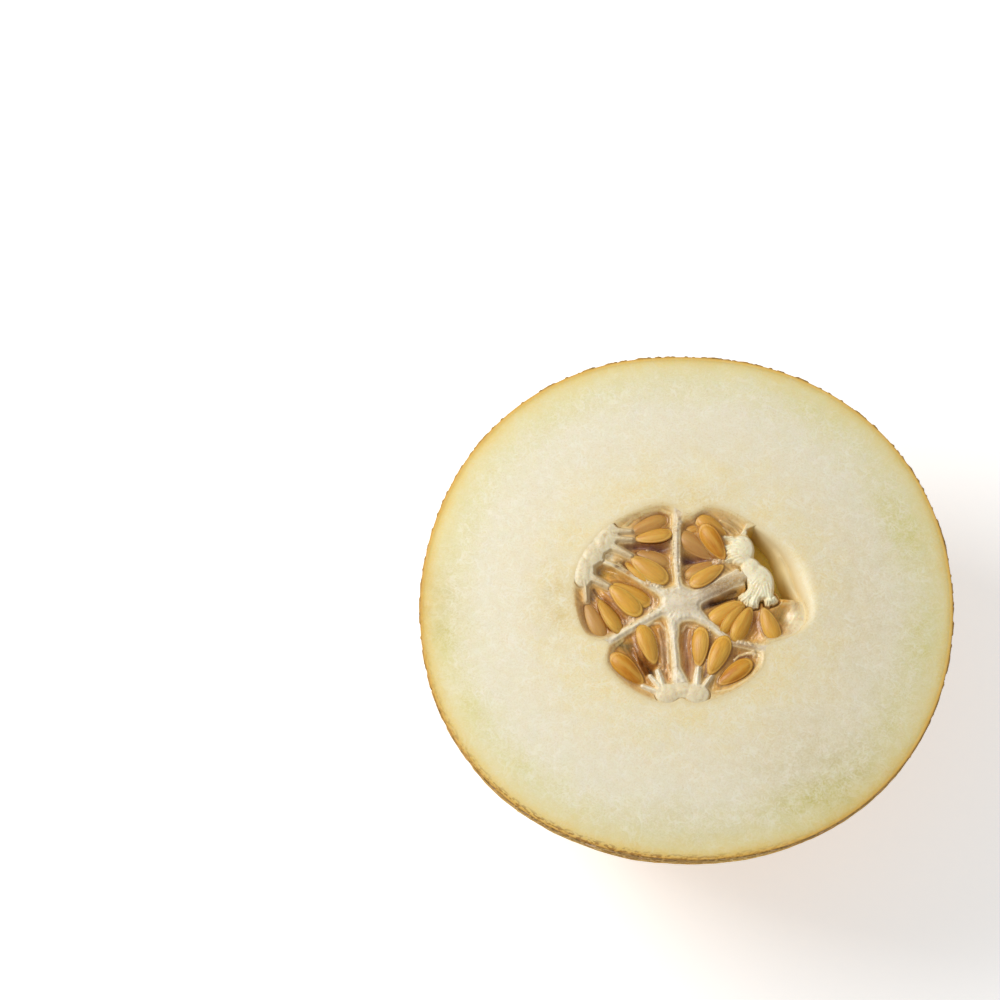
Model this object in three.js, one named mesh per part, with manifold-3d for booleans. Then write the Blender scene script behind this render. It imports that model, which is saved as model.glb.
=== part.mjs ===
// Half of a galia melon, cut crosswise through its middle and lying with the cut face up.
// Millimetres, +Z up. The origin is the middle of the small flat that the half rests on,
// +X points to the right of the cut face and +Y to its top. Angles run from +X towards +Y.

import * as THREE from 'three';
import { mergeVertices } from 'three/addons/utils/BufferGeometryUtils.js';
import Module from 'manifold-3d';

const wasm = await Module();
wasm.setup();

// Driving dimensions of the outside
const faceRadius = 71.7; // mean radius of the cut face
const cutHeight = 76; // from the rest to the cut face
const widestBelowCut = 3.6; // the cut runs a little off the widest level
const restRadius = 14; // flat where the half rests
const profilePower = 2.1; // 2 would be a plain ellipse
const outlineWaves = [
  { count: 2, height: 0.5, crest: 6 },
  { count: 3, height: 0.2, crest: -26 },
  { count: 4, height: 0.6, crest: 41 },
];

// Driving dimensions of the seed cavity: its edge is a circle with bulges (+) and wedges of flesh (-)
const cavityRadius = 27.5;
const cavityDepth = 42;
const cavityPower = 2.3;
const cavityBulges = [
  { at: 352, height: 4.6, spread: 15 },
  { at: 20, height: 2.2, spread: 20 },
  { at: 165, height: 2.5, spread: 34 },
  { at: 255, height: 1.3, spread: 30 },
  { at: 88, height: -3.8, spread: 9 },
  { at: 211, height: -4.4, spread: 7 },
  { at: 331, height: -3.4, spread: 9 },
];

// Clearance between neighbouring pieces, and how far cutters run past what they cut
const gap = 0.3;
const overrun = 4;

// The web of soft tissue: six arms from one centre. Each point of an arm is [x, y, width].
// The arms are listed the way round, and a seed chamber lies between each arm and the next.
const starCentre = [-1.1, -1.1, 7];
const arms = {
  right: [[3.6, 1.0, 3.6], [8.0, 3.0, 3.2], [12.2, 5.6, 3.8], [17.8, 8.4, 4.0]],
  up: [[-1.7, 3.2, 2.6], [-2.2, 12.0, 1.8], [-2.2, 20.5, 2.0], [-1.4, 27.0, 3.2]],
  left: [[-6.7, 2.4, 2.4], [-13.2, 5.0, 1.7], [-18.5, 9.0, 1.8], [-24.0, 11.5, 1.8]],
  lower_left: [[-6.9, -3.5, 2.4], [-15.7, -8.8, 1.9], [-24.0, -14.0, 2.6]],
  down: [[-3.0, -6.5, 3.6], [-2.4, -19.0, 2.6], [-1.0, -25.0, 4.0]],
  lower_right: [[5.6, -5.9, 2.0], [12.2, -11.5, 1.3], [18.5, -12.9, 1.6], [26.0, -13.8, 2.4]],
};
const armReach = 45; // a chamber's sides run this far out, past the cavity's edge
const cornerReach = 54; // and so does its far corner

// The three double pads that carry the seeds. A lobe is [x, y, half length, half width, turn],
// and a stalk is a tapering finger from the pad towards a seed, as points like an arm's.
const placentas = {
  upper_left: {
    lobes: [
      [-20.8, 16.2, 4.6, 2.9, 62],
      [-24.3, 12.2, 3.6, 2.2, 55],
      [-26.6, 7.6, 4.6, 2.3, 84],
    ],
    stalks: [
      [[-19.0, 19.0, 2.2], [-14.6, 18.9, 1.4]],
      [[-19.5, 17.2, 2.2], [-14.4, 16.9, 1.3]],
      [[-19.5, 14.8, 2.4], [-14.6, 12.2, 1.6]],
      [[-25.5, 6.2, 2.4], [-20.6, 3.6, 1.7]],
      [[-27.0, 5.0, 1.8], [-26.4, -0.4, 1.2]],
    ],
  },
  right: {
    lobes: [
      [15.0, 14.1, 4.3, 3.5, 80],
      [17.8, 9.0, 3.2, 2.8, 120],
      [20.1, 4.4, 5.6, 3.6, 108],
    ],
    stalks: [
      [[14.0, 16.6, 1.8], [10.9, 17.7, 1.1]],
      [[13.6, 14.6, 1.8], [10.6, 15.0, 1.1]],
      [[13.8, 12.0, 1.8], [11.2, 11.2, 1.1]],
      [[18.4, 1.8, 2.0], [15.6, -0.2, 1.3]],
      [[20.0, 0.6, 2.0], [18.2, -2.3, 1.3]],
      [[21.8, 0.8, 2.0], [21.6, -2.2, 1.3]],
      [[22.4, 2.2, 1.8], [24.6, -0.4, 1.2]],
    ],
  },
  bottom: {
    lobes: [
      [-4.6, -26.0, 3.7, 3.1, 10],
      [-0.8, -25.2, 3.0, 2.4, 0],
      [3.0, -25.9, 3.8, 3.1, -8],
    ],
    stalks: [
      [[-6.4, -24.4, 2.0], [-9.2, -21.2, 1.3]],
      [[-5.8, -24.2, 2.2], [-7.2, -19.8, 1.5]],
      [[3.0, -24.2, 2.4], [3.5, -18.8, 1.6]],
      [[4.6, -24.2, 2.0], [7.0, -20.9, 1.2]],
      [[-6.8, -25.6, 2.0], [-11.2, -24.0, 1.4]],
    ],
  },
};

// The open pocket between the right pad and the flesh
const pocket = [
  [16.9, 19.8], [22.0, 21.5], [34.0, 20.0], [36.0, 4.0], [31.5, 0.8], [25.0, 0.8], [24.0, 4.5],
  [22.8, 8.2], [19.2, 10.6], [18.8, 15.0],
];
const pocketDepth = 27;

// The seeds: [x, y, length, way that the point lies, depth of the middle below the cut]
const seedWidth = 0.42; // share of its length
const seedThickness = 0.25;
const seedTaper = 0.24; // how much the pointed end narrows
const seeds = {
  upper_right: [
    [7.1, 21.0, 10.5, -37, 1.7],
    [7.6, 16.3, 11.2, -58, 0.5],
    [2.9, 15.6, 10.8, -36, 2.0],
    [3.0, 20.6, 7.0, 18, 2.5],
    [4.3, 8.5, 10.2, 24, 2.2],
    [5.9, 7.0, 10.6, 34, 1.0],
  ],
  upper_left: [
    [-9.6, 21.0, 10.0, 205, 1.7],
    [-8.6, 18.0, 9.6, 189, 1.2],
    [-8.8, 11.8, 10.0, 159, 2.3],
    [-9.6, 8.4, 11.8, 145, 0.9],
    [-12.2, 7.6, 9.4, 142, 1.8],
  ],
  left: [
    [-14.5, 1.6, 11.8, 153, 1.7],
    [-16.0, -0.4, 11.0, 137, 0.6],
    [-20.2, -5.0, 10.6, 123, 1.0],
    [-24.3, -5.8, 11.4, 116, 1.8],
  ],
  bottom_left: [
    [-9.9, -12.4, 11.2, -70, 0.8],
    [-15.4, -19.4, 11.6, -43, 0.9],
  ],
  bottom_right: [
    [3.9, -12.9, 10.8, -94, 1.0],
    [8.8, -15.2, 11.3, -114, 0.7],
    [13.0, -19.2, 10.8, -145, 1.1],
  ],
  right: [
    [10.9, -3.4, 10.6, 33, 1.6],
    [12.9, -5.2, 9.8, 54, 1.2],
    [15.3, -6.6, 10.2, 64, 0.7],
    [22.6, -6.4, 9.7, 111, 0.9],
  ],
};

// The wet pulp round the seeds: its level below the cut, and its ripples, which run aslant
const pulpSink = 1.6;
const pulpCell = 2.1; // spacing of the points on its surface
const pulpReach = cavityRadius + 6; // past the cavity's furthest bulge
const ripple = { height: 0.3, wave: 7.5, slantX: 0.4, slantY: 0.3 };

// Pits in the pulp, each [x, y, half length, half width, turn, depth]
const pits = [
  [-10.0, 15.0, 6.5, 1.8, -4, 3.5],
  [3.6, 11.8, 5.0, 1.7, -4, 3.5],
  [10.0, 0.6, 6.0, 1.7, 20, 3.5],
  [-9.2, -18.6, 3.4, 1.6, -62, 4.0],
  [1.0, -15.0, 6.5, 1.6, -86, 2.0],
  [26.6, -3.6, 3.2, 2.2, 80, 4.0],
  [-22.2, 8.2, 3.0, 2.2, 30, 2.5],
];

// The blunt end of an arm or a finger, as shares of its half width there
const bluntReach = 0.8;
const bluntWidth = 0.6;

// Fineness of the round surfaces
const outlineSides = 84;
const cavitySides = 72;
const wallLevels = 15;
const cavityLevels = 7;
const lobeSides = 8;
const seedSides = 8;
const weldDistance = 0.0001; // points closer than this are one

const radians = THREE.MathUtils.degToRad;

// Outline of the melon at the widest level
function outlineRadius(angle) {
  const waves = outlineWaves.map(({ count, height, crest }) => (
    height * Math.cos(count * (angle - radians(crest)))
  ));
  return faceRadius + waves.reduce((sum, height) => sum + height, 0);
}

// Edge of the seed cavity on the cut face
function cavityEdge(angle) {
  const degrees = THREE.MathUtils.radToDeg(angle);
  const bulges = cavityBulges.map(({ at, height, spread }) => {
    const away = THREE.MathUtils.euclideanModulo(degrees - at + 180, 360) - 180;
    return height * Math.exp(-((away / spread) ** 2));
  });
  return cavityRadius + bulges.reduce((sum, height) => sum + height, 0);
}

// The same edge moved inwards by a clearance, measured square to it
function insetEdge(angle, inset) {
  const step = 0.01;
  const slope = (cavityEdge(angle + step) - cavityEdge(angle - step)) / (2 * step * cavityEdge(angle));
  return cavityEdge(angle) - inset * Math.hypot(1, slope);
}

// A round body from a profile of [share of the radius, height], its radius a function of angle and share
function turned(profile, sides, radiusAt) {
  const points = profile.map(([share, height]) => new THREE.Vector2(share, height));
  const geometry = new THREE.LatheGeometry(points, sides).rotateX(Math.PI / 2);
  const position = geometry.attributes.position;
  for (let i = 0; i < position.count; i += 1) {
    const share = Math.hypot(position.getX(i), position.getY(i));
    const angle = Math.atan2(position.getY(i), position.getX(i));
    const radius = share * radiusAt(angle, share);
    position.setX(i, radius * Math.cos(angle));
    position.setY(i, radius * Math.sin(angle));
  }
  return solid(geometry);
}

// A three.js geometry as a solid for joining and cutting
function solid(geometry) {
  const bare = geometry.clone();
  bare.deleteAttribute('normal');
  bare.deleteAttribute('uv');
  const merged = mergeVertices(bare, weldDistance);
  const corners = [];
  const index = merged.index.array;
  for (let i = 0; i < index.length; i += 3) {
    const [a, b, c] = [index[i], index[i + 1], index[i + 2]];
    if (a !== b && b !== c && c !== a) corners.push(a, b, c);
  }
  return new wasm.Manifold(new wasm.Mesh({
    numProp: 3,
    vertProperties: new Float32Array(merged.attributes.position.array),
    triVerts: new Uint32Array(corners),
  }));
}

// An upright block from a flat outline, between two heights
function upright(shape, low, high) {
  const settings = { depth: high - low, bevelEnabled: false, curveSegments: lobeSides };
  return solid(new THREE.ExtrudeGeometry(shape, settings).translate(0, 0, low));
}

function joined(solids) {
  return solids.reduce((whole, next) => whole.add(next));
}

// Outline of a band along points [x, y, width], widened all round by a clearance, with a blunt far end
function bandShape(points, clearance) {
  const left = [];
  const right = [];
  points.forEach(([x, y, width], i) => {
    const before = points[Math.max(i - 1, 0)];
    const after = points[Math.min(i + 1, points.length - 1)];
    const way = new THREE.Vector2(after[0] - before[0], after[1] - before[1]).normalize();
    const half = width / 2 + clearance;
    const corner = (aside, ahead) => (
      new THREE.Vector2(x - way.y * aside + way.x * ahead, y + way.x * aside + way.y * ahead)
    );
    left.push(corner(half, 0));
    right.unshift(corner(-half, 0));
    if (i === points.length - 1) {
      left.push(corner(half * bluntWidth, half * bluntReach));
      right.unshift(corner(-half * bluntWidth, half * bluntReach));
    }
  });
  return new THREE.Shape([...left, ...right]);
}

function lobeShape([x, y, halfLength, halfWidth, turn], clearance) {
  const shape = new THREE.Shape();
  const [length, width] = [halfLength + clearance, halfWidth + clearance];
  shape.absellipse(x, y, length, width, 0, 2 * Math.PI, false, radians(turn));
  return shape;
}

const cavityBottom = cutHeight - cavityDepth;

// The cavity as a solid, moved inwards by a clearance, and running up past the cut
function cavitySolid(inset, top) {
  const depth = cavityDepth - inset;
  const profile = [[0, cutHeight - depth]];
  for (let i = 1; i < cavityLevels; i += 1) {
    const turn = (i / cavityLevels) * (Math.PI / 2);
    const share = Math.sin(turn) ** (2 / cavityPower);
    profile.push([share, cutHeight - depth * Math.cos(turn) ** (2 / cavityPower)]);
  }
  profile.push([1, cutHeight], [1, top], [0, top]);
  const meanRadius = cavityRadius - inset;
  return turned(profile, cavitySides, (angle, share) => (
    meanRadius + (insetEdge(angle, inset) - meanRadius) * share ** 2
  ));
}

// The flesh with its rind: the outside from the rest up to the cut, less the cavity
function fleshSolid() {
  const widestHeight = cutHeight - widestBelowCut;
  const restShare = restRadius / faceRadius;
  const fullDepth = widestHeight / (1 - restShare ** profilePower) ** (1 / profilePower);
  const shareAt = (height) => (
    (1 - (Math.abs(widestHeight - height) / fullDepth) ** profilePower) ** (1 / profilePower)
  );
  const profile = [[0, 0]];
  const lowest = Math.acos((widestHeight / fullDepth) ** (profilePower / 2));
  for (let i = 0; i < wallLevels; i += 1) {
    const turn = lowest + (i / wallLevels) * (Math.PI / 2 - lowest);
    const height = widestHeight - fullDepth * Math.cos(turn) ** (2 / profilePower);
    profile.push([shareAt(height), Math.max(height, 0)]);
  }
  profile.push([1, widestHeight], [shareAt(cutHeight), cutHeight], [0, cutHeight]);
  const outside = turned(profile, outlineSides, (angle) => outlineRadius(angle));
  return outside.subtract(cavitySolid(0, cutHeight + overrun));
}

// The star of soft tissue between the chambers, up to the cut
function webSolid(clearance, top) {
  const bands = Object.values(arms).map((arm) => (
    upright(bandShape([starCentre, ...arm], clearance), cavityBottom - overrun, top)
  ));
  return joined(bands);
}

// A double pad with its fingers, up to a given height
function placentaSolid({ lobes, stalks }, clearance, top) {
  const outlines = [
    ...lobes.map((lobe) => lobeShape(lobe, clearance)),
    ...stalks.map((stalk) => bandShape(stalk, clearance)),
  ];
  return joined(outlines.map((outline) => upright(outline, cavityBottom - overrun, top)));
}

// Height of the pulp's surface
function pulpHeight(x, y) {
  const turnsPerMm = (2 * Math.PI) / ripple.wave;
  const across = Math.sin((x + ripple.slantX * y) * turnsPerMm);
  const along = Math.cos((y - ripple.slantY * x) * turnsPerMm);
  const dips = pits.map(([pitX, pitY, halfLength, halfWidth, turn, depth]) => {
    const way = radians(turn);
    const lengthwise = ((x - pitX) * Math.cos(way) + (y - pitY) * Math.sin(way)) / halfLength;
    const sideways = ((y - pitY) * Math.cos(way) - (x - pitX) * Math.sin(way)) / halfWidth;
    return depth * Math.exp(-(lengthwise ** 4 + sideways ** 2));
  });
  const level = cutHeight - pulpSink + ripple.height * across * along;
  return level - dips.reduce((sum, depth) => sum + depth, 0);
}

// One block of pulp over the whole cavity, its top rippled and pitted
function pulpBlock() {
  const cells = Math.ceil((2 * pulpReach) / pulpCell);
  const span = cells * pulpCell;
  const height = cavityDepth + overrun;
  const block = new THREE.BoxGeometry(span, span, height, cells, cells, 1);
  const position = block.attributes.position;
  for (let i = 0; i < position.count; i += 1) {
    const onTop = position.getZ(i) > 0;
    position.setZ(i, onTop ? pulpHeight(position.getX(i), position.getY(i)) : cutHeight - height);
  }
  return solid(block);
}

// One seed: a flat drop with its broad end back and its pointed end forward
function seedSolid([x, y, length, turn, sink]) {
  const half = length / 2;
  const drop = new THREE.SphereGeometry(1, seedSides, seedSides - 2).rotateZ(-Math.PI / 2);
  const position = drop.attributes.position;
  for (let i = 0; i < position.count; i += 1) {
    const taper = 1 - seedTaper * position.getX(i);
    position.setX(i, position.getX(i) * half);
    position.setY(i, position.getY(i) * length * (seedWidth / 2) * taper);
    position.setZ(i, position.getZ(i) * length * (seedThickness / 2) * taper);
  }
  return solid(drop.rotateZ(radians(turn)).translate(x, y, cutHeight - sink));
}

// The upright block between one arm's middle line and the next one's
function chamberSector(arm, next) {
  const reach = (points) => {
    const [x, y] = points[points.length - 1];
    const way = new THREE.Vector2(x - starCentre[0], y - starCentre[1]).setLength(armReach);
    return [way.x, way.y];
  };
  const far = reach(next);
  const near = reach(arm);
  const middle = new THREE.Vector2(near[0] + far[0], near[1] + far[1]).setLength(cornerReach);
  const outline = [starCentre, ...arm, near, [middle.x, middle.y], far, ...[...next].reverse()];
  const shape = new THREE.Shape(outline.map(([x, y]) => new THREE.Vector2(x, y)));
  return upright(shape, cavityBottom - overrun, cutHeight + overrun);
}

// The largest connected piece of a solid
function largest(whole) {
  const pieces = whole.decompose();
  return pieces.reduce((best, piece) => (piece.volume() > best.volume() ? piece : best));
}

function namedMesh(name, body, material) {
  const { vertProperties, triVerts } = body.getMesh();
  const geometry = new THREE.BufferGeometry();
  geometry.setAttribute('position', new THREE.Float32BufferAttribute(vertProperties, 3));
  geometry.setIndex(new THREE.Uint32BufferAttribute(triVerts, 1));
  geometry.computeVertexNormals();
  const mesh = new THREE.Mesh(geometry, material);
  mesh.name = name;
  return mesh;
}

const fleshFinish = new THREE.MeshStandardMaterial({ color: 0xe6d9b6, roughness: 0.45, metalness: 0 });
const webFinish = new THREE.MeshStandardMaterial({ color: 0xdacfb8, roughness: 0.35, metalness: 0 });
const placentaFinish = new THREE.MeshStandardMaterial({ color: 0xe7dcb9, roughness: 0.4, metalness: 0 });
const pulpFinish = new THREE.MeshStandardMaterial({ color: 0xc2913d, roughness: 0.25, metalness: 0 });

const melonHalf = new THREE.Group();
melonHalf.add(namedMesh('flesh', fleshSolid(), fleshFinish));

const above = cutHeight + overrun;
const inside = cavitySolid(gap, above);
const pads = joined(Object.values(placentas).map((pad) => placentaSolid(pad, gap, above)));
const web = webSolid(0, cutHeight).intersect(inside).subtract(pads);
melonHalf.add(namedMesh('web', largest(web), webFinish));

for (const [name, pad] of Object.entries(placentas)) {
  const body = placentaSolid(pad, 0, cutHeight).intersect(inside);
  melonHalf.add(namedMesh(`placenta_${name}`, body, placentaFinish));
}

// Each chamber's pulp with its seeds, clear of the web, the pads and the open pocket
const walls = joined([webSolid(gap, above), pads]);
const pocketShape = new THREE.Shape(pocket.map(([x, y]) => new THREE.Vector2(x, y)));
const pocketSolid = upright(pocketShape, cutHeight - pocketDepth, above);
const pulp = pulpBlock();
const armList = Object.values(arms);
const chamberNames = ['upper_right', 'upper_left', 'left', 'bottom_left', 'bottom_right', 'right'];
chamberNames.forEach((name, i) => {
  const sector = chamberSector(armList[i], armList[(i + 1) % armList.length]);
  const room = sector.intersect(inside).subtract(walls).subtract(pocketSolid);
  const filled = joined([pulp, ...seeds[name].map(seedSolid)]).intersect(room);
  melonHalf.add(namedMesh(`seed_bed_${name}`, largest(filled), pulpFinish));
});

export default melonHalf;
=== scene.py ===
# A netted melon half, lying cut face up: its looks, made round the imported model.
# Blender works in metres. The shapes below are worked out in millimetres, in the model's own frame.
import math

import bmesh
import bpy
import numpy as np
from mathutils import Matrix, Vector


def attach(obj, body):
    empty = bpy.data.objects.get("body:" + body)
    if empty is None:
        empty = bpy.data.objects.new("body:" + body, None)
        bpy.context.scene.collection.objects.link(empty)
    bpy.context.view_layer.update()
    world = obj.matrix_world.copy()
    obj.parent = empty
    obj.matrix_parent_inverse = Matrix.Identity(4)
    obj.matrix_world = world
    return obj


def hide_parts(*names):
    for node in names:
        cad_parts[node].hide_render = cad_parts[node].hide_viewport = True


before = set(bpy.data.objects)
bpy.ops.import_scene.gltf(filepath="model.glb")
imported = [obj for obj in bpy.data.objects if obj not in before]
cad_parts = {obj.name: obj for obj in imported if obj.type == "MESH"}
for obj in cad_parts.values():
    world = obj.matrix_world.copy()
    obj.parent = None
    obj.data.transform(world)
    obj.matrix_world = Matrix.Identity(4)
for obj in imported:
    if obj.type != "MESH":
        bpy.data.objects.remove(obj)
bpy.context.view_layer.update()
mm = 0.001
wholeBody = "root"

# Camera: where it stands, from the middle of the cut face, and where that middle shows in the picture
cameraSetup = {
    "distance": 620.0,
    "tilt": 16.0,  # degrees off the face's square
    "side": -97.0,  # the side it stands on
    "lens": 82.9,
    "sensor": 36.0,
    "picture": 1000,
    "facePixel": (685.1, 599.2),
}

# The melon's sizes, as in the model's source
melon = {
    "faceRadius": 71.4,  # the netting on it reaches the model's 71.7
    "tuck": 1.2,  # how much more the wall draws in under the cut
    "tuckStart": 18.0,  # it grows over this depth under the cut
    "tuckEnd": 25.0,  # and fades out below this height
    "outlineDents": [(90, -0.6, 16)],  # at, height, spread
    "cutHeight": 76.0,
    "widestHeight": 72.4,
    "restRadius": 14.0,
    "profilePower": 2.1,
    "outlineWaves": [(2, 0.5, 6), (3, 0.2, -26), (4, 0.6, 41)],  # count, height, crest
    "cavityRadius": 27.5,
    "cavityDepth": 42.0,
    "cavityPower": 2.3,
    "cavityBulges": [  # at, height, spread
        (352, 4.6, 15), (20, 2.2, 20), (165, 2.5, 34), (255, 1.3, 30),
        (88, -3.8, 9), (211, -4.4, 7), (331, -3.4, 9), (268, -1.5, 4),
    ],
}


def makeCamera(setup):
    tilt, side = math.radians(setup["tilt"]), math.radians(setup["side"])
    back = Vector((math.sin(tilt) * math.cos(side), math.sin(tilt) * math.sin(side), math.cos(tilt)))
    right = Vector((0, 1, 0)).cross(back).normalized()
    straight = Matrix((right, back.cross(right), back)).transposed()
    half = setup["picture"] / 2
    focal = setup["lens"] / setup["sensor"] * setup["picture"]
    across, down = setup["facePixel"]
    aim = Vector(((across - half) / focal, (half - down) / focal, -1)).normalized()
    turn = aim.rotation_difference(Vector((0, 0, -1))).to_matrix()
    data = bpy.data.cameras.new("camera")
    data.lens = setup["lens"]
    data.sensor_width = setup["sensor"]
    data.clip_start, data.clip_end = 0.01, 10
    made = bpy.data.objects.new("camera", data)
    bpy.context.scene.collection.objects.link(made)
    place = Vector((0, 0, melon["cutHeight"] * mm)) + back * setup["distance"] * mm
    made.matrix_world = Matrix.Translation(place) @ (straight @ turn).to_4x4()
    bpy.context.scene.camera = made


makeCamera(cameraSetup)
print("camera placed")

studio = {
    "skyStrength": 0.39,
    "skyColour": (1.0, 1.0, 1.0),
    "keyPlace": (-0.38, 0.13, 0.45),
    "keySize": 0.3,
    "keyPower": 2.35,
    "keyColour": (1.0, 0.985, 0.95),
    "floorSize": 12.0,
    "floorColour": (0.95, 0.95, 0.95),
    "floorGlow": 0.42,
}


def feed(tree, socket, value):  # with a link or a plain value
    if isinstance(value, bpy.types.NodeSocket):
        tree.links.new(value, socket)
    else:
        socket.default_value = value


def put(tree, kind, settings=None, inputs=None):  # one node, with its settings and its inputs or links
    made = tree.nodes.new(kind)
    for key, value in (settings or {}).items():
        setattr(made, key, value)
    for key, value in (inputs or {}).items():
        feed(tree, made.inputs[key], value)
    return made


def newMaterial(name):
    material = bpy.data.materials.new(name)
    material.use_nodes = True
    material.node_tree.nodes.clear()
    return material, material.node_tree


def linear(red, green, blue):  # screen colour, 0 to 255, as linear light
    shares = np.array([red, green, blue]) / 255
    bright = ((shares + 0.055) / 1.055) ** 2.4
    return tuple(float(x) for x in np.where(shares <= 0.04045, shares / 12.92, bright))


def pointColour(colour):  # the same, for colouring a mesh's points
    return np.array(linear(*colour))


def ramp(tree, factor, stops):  # stops: place from 0 to 1, and a screen colour
    made = put(tree, "ShaderNodeValToRGB", inputs={0: factor})
    elements = made.color_ramp.elements
    while len(elements) < len(stops):
        elements.new(0.5)
    for element, (place, colour) in zip(elements, stops):
        element.position = place
        element.color = (*linear(*colour), 1)
    return made.outputs[0]


def attribute(tree, name, output="Fac"):
    return put(tree, "ShaderNodeAttribute", {"attribute_name": name}).outputs[output]


def objectPlace(tree):
    return put(tree, "ShaderNodeTexCoord").outputs["Object"]


def calc(tree, operation, a, b=0.0):
    return put(tree, "ShaderNodeMath", {"operation": operation}, {0: a, 1: b}).outputs[0]


def times(tree, a, b):
    return calc(tree, "MULTIPLY", a, b)


def mixedHeight(tree, a, shareA, b, shareB):
    return calc(tree, "ADD", times(tree, a, shareA), times(tree, b, shareB))


def awayFrom(tree, value, middle):
    return calc(tree, "ABSOLUTE", calc(tree, "SUBTRACT", value, middle))


def blendColour(tree, factor, a, b, mode="MIX"):
    made = put(tree, "ShaderNodeMix", {"data_type": "RGBA", "blend_type": mode})
    for socket, value in ((made.inputs[0], factor), (made.inputs[6], a), (made.inputs[7], b)):
        feed(tree, socket, (*linear(*value), 1) if isinstance(value, tuple) else value)
    return made.outputs[2]


def spread(tree, value, low, high, toLow=0.0, toHigh=1.0):  # one range onto another, held at its ends
    inputs = {"Value": value, "From Min": low, "From Max": high, "To Min": toLow, "To Max": toHigh}
    return put(tree, "ShaderNodeMapRange", inputs=inputs).outputs[0]


def noise(tree, where, size, detail=2.0, distortion=0.0, roughness=0.5):  # size in millimetres
    inputs = {"Vector": where, "Scale": 1 / (size * mm), "Detail": detail, "Roughness": roughness}
    return put(tree, "ShaderNodeTexNoise", inputs={**inputs, "Distortion": distortion}).outputs[0]


def joined(tree, x, y, z=0.0):
    return put(tree, "ShaderNodeCombineXYZ", inputs={0: x, 1: y, 2: z}).outputs[0]


def joinedNoise(tree, where, scale, detail):
    inputs = {"Vector": where, "Scale": scale, "Detail": detail}
    return put(tree, "ShaderNodeTexNoise", inputs=inputs).outputs[0]


def overlaid(tree, colour, colours, rows):  # rows: value, its range, strength at either end, colour's key
    for value, low, high, toLow, toHigh, key in rows:
        colour = blendColour(tree, spread(tree, value, low, high, toLow, toHigh), colour, colours[key])
    return colour


def bump(tree, height, strength, distance, normal=None):  # distance in millimetres
    inputs = {"Height": height, "Strength": strength, "Distance": distance * mm}
    if normal is not None:
        inputs["Normal"] = normal
    return put(tree, "ShaderNodeBump", inputs=inputs).outputs[0]


def finishMaterial(tree, inputs):
    shader = put(tree, "ShaderNodeBsdfPrincipled", {"subsurface_method": "RANDOM_WALK"}, inputs)
    put(tree, "ShaderNodeOutputMaterial", inputs={0: shader.outputs[0]})


def meshObject(name, points, faces, material, attributes=None):  # points in millimetres
    mesh = bpy.data.meshes.new(name)
    mesh.from_pydata((np.asarray(points) * mm).tolist(), [], faces)
    mesh.shade_smooth()
    for key, values in (attributes or {}).items():
        values = np.asarray(values, np.float32)
        if values.ndim == 2:
            colours = np.ones((len(values), 4), np.float32)
            colours[:, :3] = values
            mesh.attributes.new(key, "FLOAT_COLOR", "POINT").data.foreach_set("color", colours.ravel())
        else:
            mesh.attributes.new(key, "FLOAT", "POINT").data.foreach_set("value", values)
    mesh.materials.append(material)
    mesh.validate()
    mesh.set_sharp_from_angle(angle=math.radians(50))
    made = bpy.data.objects.new(name, mesh)
    bpy.context.scene.collection.objects.link(made)
    return made


def addPiece(piece, slot, *nodes):
    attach(piece, wholeBody)
    if nodes:
        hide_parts(*nodes)


def waves(x, y, rows):  # rows: cell, height, seed
    return sum(height * valueNoise(x, y, cell, seed) for cell, height, seed in rows)


def smooth(value):  # a soft step from 0 to 1
    value = np.clip(value, 0, 1)
    return value * value * (3 - 2 * value)


def valueNoise(x, y, cell, seed):  # smooth noise from -1 to 1 on a plane
    side = 64
    table = np.random.default_rng(seed).random((side, side)) * 2 - 1
    u, v = np.asarray(x) / cell, np.asarray(y) / cell
    i, j = np.floor(u).astype(int), np.floor(v).astype(int)
    fu, fv = u - i, v - j
    fu, fv = fu * fu * (3 - 2 * fu), fv * fv * (3 - 2 * fv)
    i0, i1, j0, j1 = i % side, (i + 1) % side, j % side, (j + 1) % side
    low = table[i0, j0] * (1 - fu) + table[i1, j0] * fu
    high = table[i0, j1] * (1 - fu) + table[i1, j1] * fu
    return low * (1 - fv) + high * fv


def makeStudio(setup):
    scene = bpy.context.scene
    scene.view_settings.view_transform = "Standard"
    world = bpy.data.worlds.new("softRoom")
    world.use_nodes = True
    sky = world.node_tree.nodes["Background"]
    sky.inputs["Color"].default_value = (*setup["skyColour"], 1)
    sky.inputs["Strength"].default_value = setup["skyStrength"]
    scene.world = world
    light = bpy.data.lights.new("keyLight", "AREA")
    light.size = setup["keySize"]
    light.energy = setup["keyPower"]
    light.color = setup["keyColour"]
    lamp = bpy.data.objects.new("keyLight", light)
    scene.collection.objects.link(lamp)
    place = Vector(setup["keyPlace"])
    lamp.location = place
    towards = Vector((0, 0, melon["cutHeight"] * mm)) - place
    lamp.rotation_mode = "QUATERNION"
    lamp.rotation_quaternion = towards.to_track_quat("-Z", "Y")
    material, tree = newMaterial("paleFloor")
    finishMaterial(tree, {
        "Base Color": (*setup["floorColour"], 1),
        "Roughness": 0.9,
        "Specular IOR Level": 0.1,
        "Emission Color": (1, 1, 1, 1),
        "Emission Strength": setup["floorGlow"],
    })
    half = setup["floorSize"] / 2 / mm
    corners = [(-half, -half, 0), (half, -half, 0), (half, half, 0), (-half, half, 0)]
    floor = meshObject("floor", corners, [(0, 1, 2, 3)], material)


makeStudio(studio)
print("room and floor made")


def turnFrom(angle, at):  # degrees from a direction, -180 to 180
    return np.mod(np.degrees(angle) - at + 180, 360) - 180


def bulged(radius, angle, bulges):  # with rounded bulges or dents
    for at, height, width in bulges:
        radius = radius + height * np.exp(-((turnFrom(angle, at) / width) ** 2))
    return radius


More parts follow.
